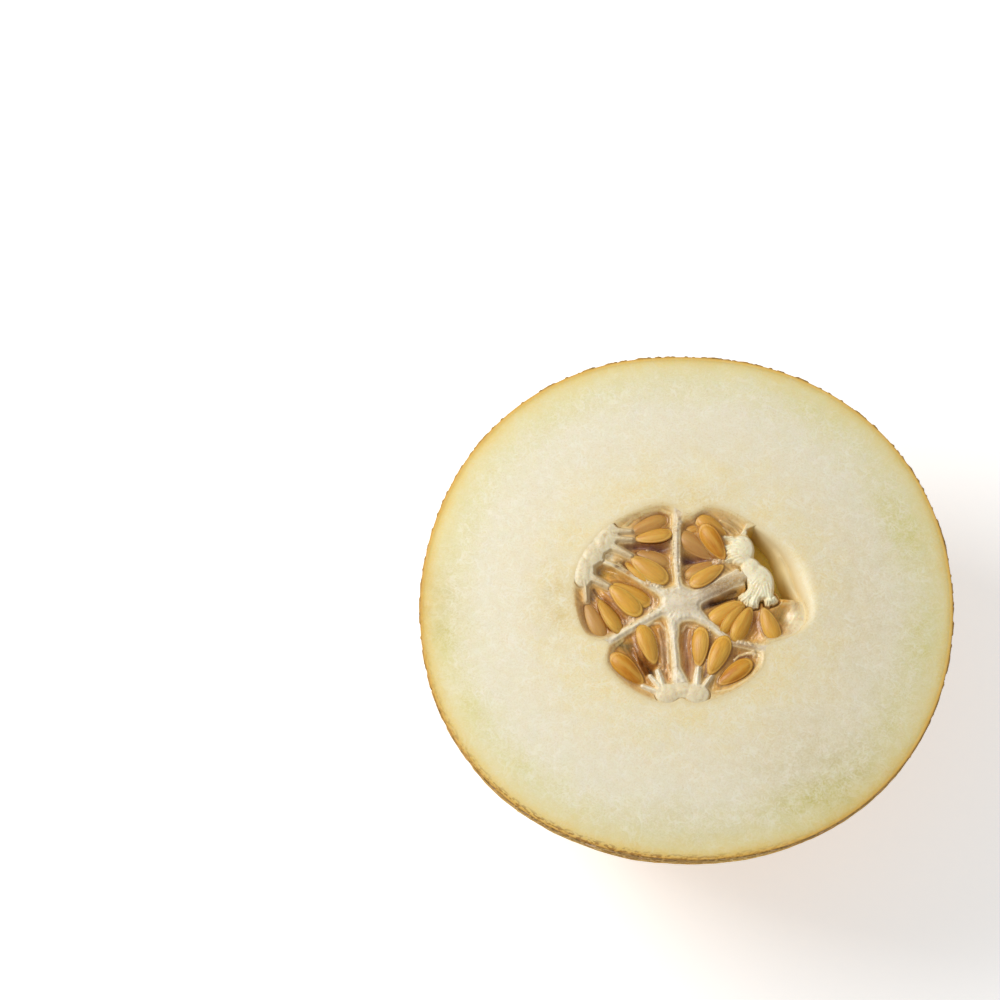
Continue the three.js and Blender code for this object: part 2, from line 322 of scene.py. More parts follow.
def outlineRadius(angle):  # the melon's outline at its widest level
    radius = np.full_like(angle, melon["faceRadius"])
    for count, height, crest in melon["outlineWaves"]:
        radius = radius + height * np.cos(count * (angle - math.radians(crest)))
    return bulged(radius, angle, melon["outlineDents"])


def wallShare(height):  # share of that outline at a height
    power = melon["profilePower"]
    restShare = melon["restRadius"] / melon["faceRadius"]
    fullDepth = melon["widestHeight"] / (1 - restShare**power) ** (1 / power)
    away = np.minimum(np.abs(height - melon["widestHeight"]) / fullDepth, 1)
    underCut = smooth((melon["cutHeight"] - height) / melon["tuckStart"])
    tuck = melon["tuck"] / melon["faceRadius"] * underCut * smooth(height / melon["tuckEnd"])
    return (1 - away**power) ** (1 / power) - tuck


def wallRadius(angle, height):
    return outlineRadius(angle) * float(wallShare(np.array(height)))


def cavityEdge(angle):  # edge of the seed cavity on the cut
    return bulged(np.full_like(angle, melon["cavityRadius"]), angle, melon["cavityBulges"])


def bowlDepth(x, y):  # depth of the cavity's wall under a point of the cut
    angle = np.arctan2(y, x)
    radius = np.hypot(x, y)
    edge = cavityEdge(angle)
    mean = melon["cavityRadius"]
    share = np.clip(radius / edge, 0, 1)
    for _ in range(6):  # the lobes fade towards the bottom, so the share is closed in on
        share = np.clip(radius / (mean + (edge - mean) * share**2), 0, 1)
    return melon["cavityDepth"] * (1 - share ** melon["cavityPower"]) ** (1 / melon["cavityPower"])


def turnedMesh(name, rings, startPole, endPole, material, attributes):
    # rings go from the first pole round to the last, each with its points anticlockwise
    count = len(rings[0])
    points = np.concatenate([np.array(rings).reshape(-1, 3), [startPole, endPole]])
    start, end = len(points) - 2, len(points) - 1
    faces = []
    for level in range(len(rings) - 1):
        low, high = level * count, (level + 1) * count
        for j in range(count):
            k = (j + 1) % count
            faces.append((low + j, high + j, high + k, low + k))
    last = (len(rings) - 1) * count
    for j in range(count):
        k = (j + 1) % count
        faces.append((start, j, k))
        faces.append((end, last + k, last + j))
    return meshObject(name, points, faces, material, attributes(points))


# The flesh: the cut face, the cavity's wall and the wall under the rind
flesh = {
    "sides": 540,
    "skinThickness": 0.9,
    "underSkin": 0.02,  # how far the flesh reaches under its skin
    "edgeRounding": 0.45,
    "edgeRings": 6,
    "pocketRounding": 4.4,  # more of it beside the open pocket, where the wall also leans in
    "pocketLean": 3.6,
    "leanDepth": 11.0,
    "pocketAt": 12.0,
    "pocketSpread": 24.0,
    "faceRings": 64,
    "bowlRings": 44,
    "wallRings": 16,
    "restGap": 0.5,  # left under the flesh for the skin
    "faceWaves": [(9.0, 0.06, 11), (2.4, 0.03, 12)],  # cell, height, seed
    "bowlWaves": [(5.0, 0.28, 13), (1.6, 0.1, 14)],
    "waveStart": 6.0,  # the bowl's waves grow over this depth
    "bandNarrowing": (0.2, 0.25, 5.0),  # all round, more of it to the right, and how far in it reaches
    "raggedAt": 248.0,  # where the skin tears along the cut
    "raggedSpread": 42.0,
    "greenPatches": [  # angle, distance in from the rind, spread both ways, strength
        (192, 6.0, 6, 3.0, 0.7), (210, 8.0, 6, 3.0, 0.7), (17, 9.0, 8, 4.5, 0.75), (27, 12.0, 7, 3.5, 0.5),
        (350, 8.0, 8, 4.5, 0.65), (306, 8.0, 8, 5.0, 0.6), (296, 9.0, 7, 4.0, 0.45), (56, 7.0, 9, 4.0, 0.4),
        (160, 8.5, 9, 4.5, 0.25), (230, 9.0, 9, 3.5, 0.3), (330, 10.0, 8, 4.0, 0.35),
        (120, 8.0, 12, 4.0, 0.2),
    ],
    "paintedShadePatches": [  # painted shade, darker where less light falls: x, y, spread both ways, strength
        (37.0, -46.0, 20, 14, 1.0), (-34.0, -1.0, 6, 10, 1.0), (-66.0, -3.0, 6, 12, 1.0),
        (0.0, -62.0, 26, 8, 0.4), (46.0, -4.0, 17, 30, 0.6), (3.0, 29.0, 8, 3, 0.7),
    ],
    "faceColours": [  # millimetres in from the skin
        (0.0, (198, 148, 58)), (0.4, (230, 184, 88)), (1.0, (244, 206, 114)), (1.8, (243, 216, 140)),
        (3.6, (240, 226, 168)), (7.5, (238, 230, 186)), (17.0, (243, 235, 209)), (26.0, (244, 233, 203)),
        (36.0, (246, 232, 190)), (44.0, (247, 228, 176)),
    ],
    "wallColours": [  # from the cut down
        (0.0, (252, 240, 208)), (0.12, (251, 236, 192)), (0.26, (250, 226, 146)), (0.5, (248, 212, 78)),
        (1.0, (244, 206, 48)),
    ],
    "greenColour": (224, 216, 128),
    # multiplied in where the face is painted darker, as painted shade
    "paintedShadeColour": (234, 228, 204),
    "tornColour": (152, 98, 22),
    "grainColour": (250, 244, 222),
    "fineColour": (216, 192, 134),
    "fibreColour": (255, 251, 236),
    "fibres": [(4.2, 0.34), (2.4, 0.24)],  # size, strength
    "shoreColour": (230, 209, 158),  # along the cavity's edge
}


def pocketShare(angle):  # 1 in the middle of the open pocket's side
    return np.exp(-((turnFrom(angle, flesh["pocketAt"]) / flesh["pocketSpread"]) ** 2))


def edgeRounding(angle):  # radius of the soft edge between the cut face and the cavity
    return flesh["edgeRounding"] + flesh["pocketRounding"] * pocketShare(angle)


def faceAttributes(points):
    x, y, z = points.T
    angle = np.arctan2(y, x)
    radius = np.hypot(x, y)
    rimDist = wallRadius(angle, melon["cutHeight"]) - radius
    inward = np.clip(rimDist, 0, None)
    everywhere, rightward, reach = flesh["bandNarrowing"]
    narrower = (everywhere + rightward * np.cos(angle)) * np.exp(-inward / reach)
    green = sum(
        strength * np.exp(-((turnFrom(angle, at) / turnSpread) ** 2) - ((rimDist - inset) / inSpread) ** 2)
        for at, inset, turnSpread, inSpread, strength in flesh["greenPatches"]
    )
    # painted shade: darker patches of the face where less light falls
    dull = sum(
        strength * np.exp(-(((x - atX) / spreadX) ** 2) - ((y - atY) / spreadY) ** 2)
        for atX, atY, spreadX, spreadY, strength in flesh["paintedShadePatches"]
    )
    return {
        "dull": np.clip(dull, 0, 1),
        "ragged": np.exp(-((turnFrom(angle, flesh["raggedAt"]) / flesh["raggedSpread"]) ** 2)),
        "around": angle * melon["faceRadius"],
        "rimDist": inward * (1 + narrower),
        "cavityDist": radius - cavityEdge(angle),
        "cutDepth": melon["cutHeight"] - z,
        "green": np.clip(green, 0, 1),
    }


def faceColour(tree, where):  # colour of the cut face from the skin in to the cavity
    colours = flesh["faceColours"]
    reach = colours[-1][0]
    rimDist = attribute(tree, "rimDist")
    inward = times(tree, rimDist, spread(tree, noise(tree, where, 7.0), 0.3, 0.7, 0.818, 1.182))
    stops = [(place / reach, colour) for place, colour in colours]
    base = ramp(tree, calc(tree, "DIVIDE", inward, reach), stops)
    patchy = spread(tree, noise(tree, where, 4.0, 3.0), 0.35, 0.65, 0.45, 1.0)
    base = blendColour(tree, times(tree, attribute(tree, "green"), patchy), base, flesh["greenColour"])
    # painted shade: the face is darkened in patches where less light falls
    shaded = times(tree, attribute(tree, "dull"), times(tree, patchy, 0.8))
    base = blendColour(tree, shaded, base, flesh["paintedShadeColour"], "MULTIPLY")
    along = joined(tree, attribute(tree, "around"), times(tree, rimDist, 2.6))
    dashes = joinedNoise(tree, along, 0.65, 3.0)
    torn = times(tree, attribute(tree, "ragged"), spread(tree, rimDist, 0.7, 1.9, 1.0, 0.0))
    torn = times(tree, torn, spread(tree, dashes, 0.47, 0.56, 0.0, 0.85))
    base = blendColour(tree, torn, base, flesh["tornColour"])
    inside = spread(tree, rimDist, 0.8, 9.0, 0.1, 1.0)  # the rim is smoother
    grain, fine = noise(tree, where, 1.1, 3.0, 1.6), noise(tree, where, 0.45, 2.0, 0.8)
    for value, low, high, strength, colour in (
        (grain, 0.42, 0.62, 0.42, flesh["grainColour"]), (fine, 0.5, 0.72, 0.24, flesh["fineColour"]),
    ):
        share = times(tree, inside, spread(tree, value, low, high, 0.0, strength))
        base = blendColour(tree, share, base, colour)
    for size, strength in flesh["fibres"]:  # soft lines along a noise's middle
        middle = awayFrom(tree, noise(tree, where, size, 1.0, 1.4), 0.5)
        sparse = spread(tree, noise(tree, where, size * 1.2, 1.0), 0.4, 0.6, 0.0, strength)
        line = times(tree, spread(tree, middle, 0.008, 0.06, 1.0, 0.0), sparse)
        base = blendColour(tree, times(tree, line, inside), base, flesh["fibreColour"])
    return base, grain, fine


def fleshMaterial():
    material, tree = newMaterial("moistFlesh")
    colour, grain, fine = faceColour(tree, objectPlace(tree))
    cutDepth, cavityDist = attribute(tree, "cutDepth"), attribute(tree, "cavityDist")
    wall = ramp(tree, spread(tree, cutDepth, 1.0, 24.0), flesh["wallColours"])
    colour = blendColour(tree, spread(tree, cutDepth, 0.5, 2.5), colour, wall)
    colour = blendColour(tree, spread(tree, cavityDist, 0.0, 2.2, 0.7, 0.0), colour, flesh["shoreColour"])
    finishMaterial(tree, {
        "Base Color": colour,
        "Roughness": spread(tree, grain, 0.35, 0.65, 0.38, 0.54),
        "Normal": bump(tree, mixedHeight(tree, grain, 0.7, fine, 0.3), 0.35, 0.18),
        "Subsurface Weight": spread(tree, cavityDist, 0.8, 4.0, 0.0, 0.35),
        "Subsurface Radius": (1.0, 0.75, 0.4),
        "Subsurface Scale": 2.5 * mm,
        "Specular IOR Level": 0.4,
        "Coat Weight": 0.1,
        "Coat Roughness": 0.3,
    })
    return material


def makeFlesh():
    sides = flesh["sides"]
    angle = np.arange(sides) * 2 * math.pi / sides
    cos, sin = np.cos(angle), np.sin(angle)
    top = melon["cutHeight"]
    edge = cavityEdge(angle)
    rounding = edgeRounding(angle)
    rings = []

    def ring(radius, height):
        height = np.broadcast_to(height, radius.shape)
        rings.append(np.stack([radius * cos, radius * sin, height], 1))

    mean, power = melon["cavityRadius"], melon["cavityPower"]
    for i in range(1, flesh["bowlRings"] + 1):  # from the bottom up, not quite to the cut
        turn = math.pi / 2 * i / (flesh["bowlRings"] + 0.6)
        share = math.sin(turn) ** (2 / power)
        depth = melon["cavityDepth"] * math.cos(turn) ** (2 / power)
        radius = (mean + (edge - mean) * share**2) * share
        relief = waves(angle * mean, np.full(sides, depth * 0.6), flesh["bowlWaves"])
        radius = radius + min(1, depth / flesh["waveStart"]) * relief
        lean = flesh["pocketLean"] * pocketShare(angle) * float(smooth(depth / flesh["leanDepth"])) * share
        ring(radius - lean, top - np.maximum(depth, rounding))
    for i in range(1, flesh["edgeRings"] + 1):
        turn = math.pi / 2 * i / flesh["edgeRings"]
        ring(edge + rounding * (1 - math.cos(turn)), top - rounding * (1 - math.sin(turn)))
    inset = flesh["skinThickness"] - flesh["underSkin"]
    inner, outer = edge + rounding, wallRadius(angle, top) - inset
    last = flesh["faceRings"]
    for i in range(1, last + 1):
        radius = inner + (outer - inner) * i / last
        fade = min(1, i / 4, (last - i) / 3)  # flat towards the cavity and the skin
        relief = fade * waves(radius * cos, radius * sin, flesh["faceWaves"])
        ring(radius, top + relief - (0.012 if i == last else 0))  # and just under the skin's edge
    lowest = flesh["skinThickness"] + flesh["restGap"]
    for i in range(1, flesh["wallRings"] + 1):
        turn = math.pi / 2 * i / flesh["wallRings"]
        height = lowest + (top - lowest) * math.cos(turn) ** 0.8
        ring(wallRadius(angle, height) - inset, height)
    startPole, endPole = (0, 0, top - melon["cavityDepth"]), (0, 0, lowest - 0.05)
    piece = turnedMesh("flesh_body", rings, startPole, endPole, fleshMaterial(), faceAttributes)
    addPiece(piece, "flesh", "flesh")


makeFlesh()
print("flesh made")

# The rind: a thin shell with its golden skin outside and its cut edge on the face
rind = {
    "thickness": 0.9,
    "cutRounding": 0.18,
    "restLift": 0.45,  # the netting fills this much under the resting flat
    "restGap": 0.42,  # between that and its inner wall, besides its thickness
    "wallRings": 84,
    "innerRings": 16,
    "skinWaves": [(14.0, 0.22, 21), (4.0, 0.08, 22)],
    "calmNearCut": 8.0,  # the waves fade out this near the cut and the rest
    "calmNearRest": 6.0,
    "speckSpacing": 1.5,
    "skinColours": [(0.3, (182, 118, 4)), (0.5, (208, 148, 4)), (0.7, (228, 178, 10))],
    "mottleColour": (166, 100, 4),
    "paleColour": (238, 200, 30),
    "speckColour": (140, 84, 20),
    "dryColour": (136, 106, 62),  # near the cut
    "cutLineColour": (96, 60, 18),  # a broken line along it
}


def skinHeights(count):  # heights from the cut down to the rest, closer together near the bottom
    turns = np.linspace(0, math.pi / 2, count + 1)[1:]
    return (melon["cutHeight"] - rind["cutRounding"]) * np.cos(turns) ** 1.15


def skinRadius(angle, height):  # the skin's outside, a little uneven away from the cut and the rest
    relief = waves(angle * melon["faceRadius"], np.full(len(angle), height * 1.2), rind["skinWaves"])
    calm = min(1, abs(melon["cutHeight"] - height) / rind["calmNearCut"])
    return wallRadius(angle, height) + relief * (calm * min(1, height / rind["calmNearRest"]))


def skinMaterial():
    material, tree = newMaterial("goldenSkin")
    where = objectPlace(tree)
    skin = ramp(tree, noise(tree, where, 22.0, 3.0, 0.6), rind["skinColours"])
    mottled = noise(tree, where, 2.2, 4.0, 0.5)
    specks = put(tree, "ShaderNodeTexVoronoi", {"feature": "F1"}, {
        "Vector": where, "Scale": 1 / (rind["speckSpacing"] * mm),
    })
    cutDepth = attribute(tree, "cutDepth")
    skin = overlaid(tree, skin, rind, (
        (mottled, 0.48, 0.7, 0.0, 0.6, "mottleColour"),
        (noise(tree, where, 5.5), 0.55, 0.75, 0.0, 0.4, "paleColour"),
        (specks.outputs["Distance"], 0.0, 0.16, 0.5, 0.0, "speckColour"),
        (cutDepth, 0.6, 3.6, 0.55, 0.0, "dryColour"),
    ))
    gaps = spread(tree, noise(tree, where, 2.4), 0.4, 0.56)
    brokenLine = times(tree, spread(tree, cutDepth, 0.3, 1.4, 0.8, 0.0), gaps)
    skin = blendColour(tree, brokenLine, skin, rind["cutLineColour"])
    face, _, fine = faceColour(tree, where)
    finishMaterial(tree, {
        "Base Color": blendColour(tree, attribute(tree, "onFace"), skin, face),
        "Roughness": spread(tree, mottled, 0.3, 0.7, 0.4, 0.58),
        "Normal": bump(tree, mixedHeight(tree, mottled, 1.0, fine, 0.3), 0.35, 0.15),
        "Subsurface Weight": 0.12,
        "Subsurface Radius": (1.0, 0.7, 0.2),
        "Subsurface Scale": 1.0 * mm,
        "Specular IOR Level": 0.32,
    })
    return material


def makeRind():
    sides = flesh["sides"]
    angle = np.arange(sides) * 2 * math.pi / sides
    cos, sin = np.cos(angle), np.sin(angle)
    top = melon["cutHeight"]
    rings, onFace = [], []

    def ring(radius, height, face):
        height = np.broadcast_to(height, radius.shape)
        rings.append(np.stack([radius * cos, radius * sin, height], 1))
        onFace.append(np.full(sides, face, float))

    innerLow = rind["thickness"] + rind["restGap"]
    for i in range(1, rind["innerRings"] + 1):
        turn = math.pi / 2 * i / rind["innerRings"]
        height = innerLow + (top - innerLow) * math.sin(turn) ** 0.8
        ring(wallRadius(angle, height) - rind["thickness"], height, 1.0)
    rounding, rim = rind["cutRounding"], wallRadius(angle, top)
    for share in (0.35, 0.7):
        ring(rim - rind["thickness"] * (1 - share), top, 1.0)
    for i in range(4):
        turn = math.pi / 2 * i / 3
        face = 1.0 if i < 2 else 0.0
        ring(rim - rounding * (1 - math.sin(turn)), top - rounding * (1 - math.cos(turn)), face)
    for height in skinHeights(rind["wallRings"]):
        ring(skinRadius(angle, height), max(height, rind["restLift"]), 0.0)

    def attributes(points):
        made = faceAttributes(points)
        made["onFace"] = np.concatenate([*onFace, [1.0, 0.0]])
        return made

    startPole, endPole = (0, 0, innerLow - 0.05), (0, 0, rind["restLift"])
    piece = turnedMesh("rind", rings, startPole, endPole, skinMaterial(), attributes)
    addPiece(piece, "rind", "flesh")


makeRind()
print("rind made")

# The soft insides of the seed cavity: web, pads and pulp, each a relief over the bowl
farAway = 99.0  # millimetres, further than anything here

cavity = {
    "step": 0.15,
    "margin": 6.0,  # the grid runs this far past the cavity
    "overlap": 0.05,  # neighbouring pieces run this far into each other
    "intoFlesh": 0.8,  # and this far under the flesh's edge
    "webIntoFlesh": 0.5,
    "underWeb": 0.006,  # the pulp lies lower by this where the web covers it
    "webEdge": 0.09,  # and this far beyond it
    "shallowest": 3.5,
    "skirtShares": (0.012, 0.035, 0.08, 0.15, 0.26, 0.42, 0.66),  # levels of a piece's walls
    "edgeWaves": [(0.9, 0.0375, 31), (2.3, 0.12, 32)],  # cell, height, seed
    "starCentre": (-1.3, -0.9, 6.6),
    "armReach": 45.0,
    "cornerReach": 54.0,
    "arms": {  # x, y, width, listed the way round
        "right": [(3.6, 1.0, 3.6), (8.0, 3.0, 3.2), (12.2, 5.5, 3.8), (17.8, 7.8, 4.8)],
        "up": [(-1.6, 2.9, 2.4), (-1.9, 6.2, 1.3), (-2.2, 11.5, 1.7), (-2.2, 20.5, 1.9), (-1.4, 27.0, 3.2)],
        "left": [
            (-6.5, 2.2, 2.2), (-10.6, 4.4, 1.2), (-14.5, 6.9, 0.9), (-18.5, 9.2, 0.8), (-24.0, 11.5, 0.8),
        ],
        "lower_left": [(-6.9, -3.5, 2.4), (-15.7, -8.8, 1.9), (-24.0, -14.0, 2.6)],
        "down": [(-3.2, -6.4, 3.0), (-2.9, -11.0, 1.9), (-2.3, -18.5, 2.0), (-1.0, -24.6, 5.0)],
        "lower_right": [(5.6, -5.9, 2.0), (12.2, -11.5, 1.3), (18.5, -12.9, 1.6), (26.0, -13.8, 2.4)],
    },
    "pocket": [
        (16.9, 19.8), (22.0, 21.5), (34.0, 20.0), (36.0, 4.0), (31.5, 0.8), (25.0, 0.8), (24.0, 4.5),
        (22.8, 8.2), (19.2, 10.6), (18.8, 15.0),
    ],
    "pocketDepth": 10.0,
}

def softMin(a, b, width):
    return np.minimum(a, b) - np.clip(1 - np.abs(a - b) / width, 0, None) ** 2 * width / 4


def lineDistance(x, y, startX, startY, endX, endY):  # share of the way along it, and how far away
    alongX, alongY = endX - startX, endY - startY
    share = np.clip(((x - startX) * alongX + (y - startY) * alongY) / (alongX**2 + alongY**2), 0, 1)
    return share, np.hypot(x - startX - share * alongX, y - startY - share * alongY)


def bandDistance(x, y, points):  # how far outside a tapering band; below zero inside
    away = np.full(x.shape, farAway)
    for (startX, startY, startWidth), (endX, endY, endWidth) in zip(points, points[1:]):
        share, distance = lineDistance(x, y, startX, startY, endX, endY)
        away = np.minimum(away, distance - (startWidth + share * (endWidth - startWidth)) / 2)
    return away


def localAxes(x, y, atX, atY, turn):  # along and across a turned axis
    way = math.radians(turn)
    along = (x - atX) * math.cos(way) + (y - atY) * math.sin(way)
    return along, (y - atY) * math.cos(way) - (x - atX) * math.sin(way)


def ovalDistance(along, across, halfLength, halfWidth, middle):  # middle: what it is at the very centre
    reach = np.hypot(along / halfLength, across / halfWidth)
    slope = np.maximum(np.hypot(along / halfLength**2, across / halfWidth**2), 1e-6)
    return np.where(reach > 0.02, reach * (reach - 1) / slope, middle)


def lobeDistance(x, y, lobe):
    atX, atY, halfLength, halfWidth, turn = lobe
    return ovalDistance(*localAxes(x, y, atX, atY, turn), halfLength, halfWidth, -halfWidth)


def polygonDistance(x, y, corners):
    away = np.full(x.shape, farAway)
    inside = np.zeros(x.shape, bool)
    for (startX, startY), (endX, endY) in zip(corners, corners[1:] + corners[:1]):
        away = np.minimum(away, lineDistance(x, y, startX, startY, endX, endY)[1])
        if startY != endY:
            crossing = startX + (y - startY) * (endX - startX) / (endY - startY)
            inside ^= ((startY > y) != (endY > y)) & (x < crossing)
    return np.where(inside, -away, away)


def chamberCorners(arm, following):  # the sector between two of the web's arms
    centreX, centreY, _ = cavity["starCentre"]

    def reach(points):
        wayX, wayY = points[-1][0] - centreX, points[-1][1] - centreY
        scale = cavity["armReach"] / math.hypot(wayX, wayY)
        return wayX * scale, wayY * scale

    near, far = reach(arm), reach(following)
    scale = cavity["cornerReach"] / math.hypot(near[0] + far[0], near[1] + far[1])
    corner = ((near[0] + far[0]) * scale, (near[1] + far[1]) * scale)
    outgoing = [(x, y) for x, y, _ in arm]
    incoming = [(x, y) for x, y, _ in reversed(following)]
    return [(centreX, centreY), *outgoing, near, corner, far, *incoming]


# fringes: x, y, radius, first and last angle, bristles, their length
# edge: the darker colour along each pad's outline, a painted shadow where the pad meets the flesh and the
# pulp
placentas = {  # lobes: x, y, half length, half width, turn; stalks: points like an arm's
    "upper_left": {
        "lobes": [(-21.6, 17.0, 5.0, 3.5, 60), (-25.0, 12.4, 4.0, 3.3, 58), (-27.3, 7.6, 4.8, 3.2, 84)],
        "stalks": [
            [(-19.0, 19.2, 2.4), (-14.6, 19.1, 1.8)], [(-19.5, 17.2, 2.4), (-14.4, 16.8, 1.8)],
            [(-19.5, 14.8, 2.6), (-14.6, 12.2, 1.8)], [(-25.5, 6.2, 2.6), (-20.6, 3.6, 1.9)],
            [(-27.0, 5.0, 2.0), (-26.4, -0.4, 1.4)],
        ],
        "fringes": [],
        "fan": 1.2,
        "stain": (236, 223, 188),
        "stalk": (222, 199, 158),
        "edge": (228, 203, 146),
    },
    "right": {
        "lobes": [(15.2, 14.1, 4.4, 3.5, 84), (17.9, 9.0, 3.2, 2.7, 120), (20.3, 5.2, 4.9, 3.6, 104)],
        "stalks": [
            [(14.0, 16.6, 1.8), (10.9, 17.7, 1.1)], [(13.6, 14.6, 1.8), (10.6, 15.0, 1.1)],
            [(13.8, 12.0, 1.8), (11.2, 11.2, 1.1)], [(19.4, 4.0, 3.6), (16.6, 0.9, 2.4)],
            [(19.8, 3.0, 3.2), (18.1, -0.9, 2.2)], [(22.0, 3.4, 2.8), (22.8, 0.2, 1.9)],
        ],
        "fringes": [
            (15.0, 14.2, 2.9, 110, 255, 12, 1.5), (18.8, 3.4, 3.7, 208, 276, 11, 1.3),
            (22.3, 1.9, 1.9, 250, 330, 5, 1.0),
        ],
        "fan": 2.5,
        "stain": (254, 242, 208),
        "stalk": (255, 246, 210),
        "edge": (244, 220, 166),
    },
    "bottom": {
        "lobes": [(-4.6, -26.0, 3.7, 3.1, 10), (-0.8, -25.2, 3.0, 2.4, 0), (3.0, -25.9, 3.8, 3.1, -8)],
        "stalks": [
            [(-6.4, -24.4, 2.0), (-9.2, -21.2, 1.3)], [(-5.8, -24.2, 2.2), (-7.2, -19.8, 1.5)],
            [(3.0, -24.2, 2.4), (3.5, -18.8, 1.6)], [(4.6, -24.2, 2.0), (7.0, -20.9, 1.2)],
            [(-6.8, -25.6, 2.0), (-11.2, -24.0, 1.4)],
        ],
        "fringes": [],
        "fan": 0.3,
        "stain": (240, 225, 188),
        "stalk": (255, 246, 222),
        "edge": (230, 198, 134),
    },
}


def bristles(fringes):  # short tapering hairs round a part of a circle
    draw = np.random.default_rng(17)
    made = []
    for atX, atY, radius, first, last, count, length in fringes:
        for i in range(count):
            way = math.radians(first + (last - first) * (i + draw.uniform(0.2, 0.8)) / count)
            startX, startY = atX + radius * math.cos(way), atY + radius * math.sin(way)
            lean, reach = way + draw.normal(0, 0.22), length * draw.uniform(0.55, 1.25)
            end = (startX + reach * math.cos(lean), startY + reach * math.sin(lean), 0.65)
            made.append([(startX, startY, draw.uniform(1.0, 1.4)), end])
    return made


def layOutGrid():  # how far each point of the cut is from every outline
    reach = melon["cavityRadius"] + cavity["margin"]
    line = np.arange(-reach, reach, cavity["step"])
    x, y = np.meshgrid(line, line, indexing="ij")
    angle = np.arctan2(y, x)
    edge = cavityEdge(angle)
    little = 0.01  # either way, for the slope of that edge
    slope = (cavityEdge(angle + little) - cavityEdge(angle - little)) / (2 * little * edge)
    inCavity = (edge - np.hypot(x, y)) / np.hypot(1, slope)
    wobble = waves(x, y, cavity["edgeWaves"])
    arms = list(cavity["arms"].values())
    web = bandDistance(x, y, [cavity["starCentre"], *arms[0]])
    for arm in arms[1:]:
        web = softMin(web, bandDistance(x, y, [cavity["starCentre"], *arm]), 2.2)
    pads = {}
    for name, pad in placentas.items():
        away = lobeDistance(x, y, pad["lobes"][0])
        for lobe in pad["lobes"][1:]:
            away = softMin(away, lobeDistance(x, y, lobe), 0.5)
        for stalk in pad["stalks"]:
            away = softMin(away, bandDistance(x, y, stalk), 0.5)
        for bristle in bristles(pad["fringes"]):
            away = softMin(away, bandDistance(x, y, bristle), 0.45)
        pads[name] = away + 0.6 * wobble
    chambers = {}
    for i, name in enumerate(pulp["chambers"]):
        chambers[name] = polygonDistance(x, y, chamberCorners(arms[i], arms[(i + 1) % len(arms)]))
    return {
        "x": x, "y": y, "flesh": inCavity, "web": web + wobble, "pads": pads,
        "pad": np.minimum.reduce(list(pads.values())), "chambers": chambers,
        "pocket": polygonDistance(x, y, cavity["pocket"]),
    }


def spot(x, y, atX, atY, halfLength, halfWidth, turn):  # 1 in the middle of a soft oval
    along, across = localAxes(x, y, atX, atY, turn)
    return np.exp(-((along / halfLength) ** 4) - (across / halfWidth) ** 2)


def tintTowards(colour, share, stain):
    colour += share[..., None] * (pointColour(stain) - colour)


def fibres(x, y, turn, long, thin, seed):  # wavy strands along one way, from -1 to 1
    along, across = localAxes(x, y, 0, 0, turn)
    across = across + 0.5 * valueNoise(along, across, 4.0, seed + 1)
    return valueNoise(along / long, across / thin, 1.0, seed)


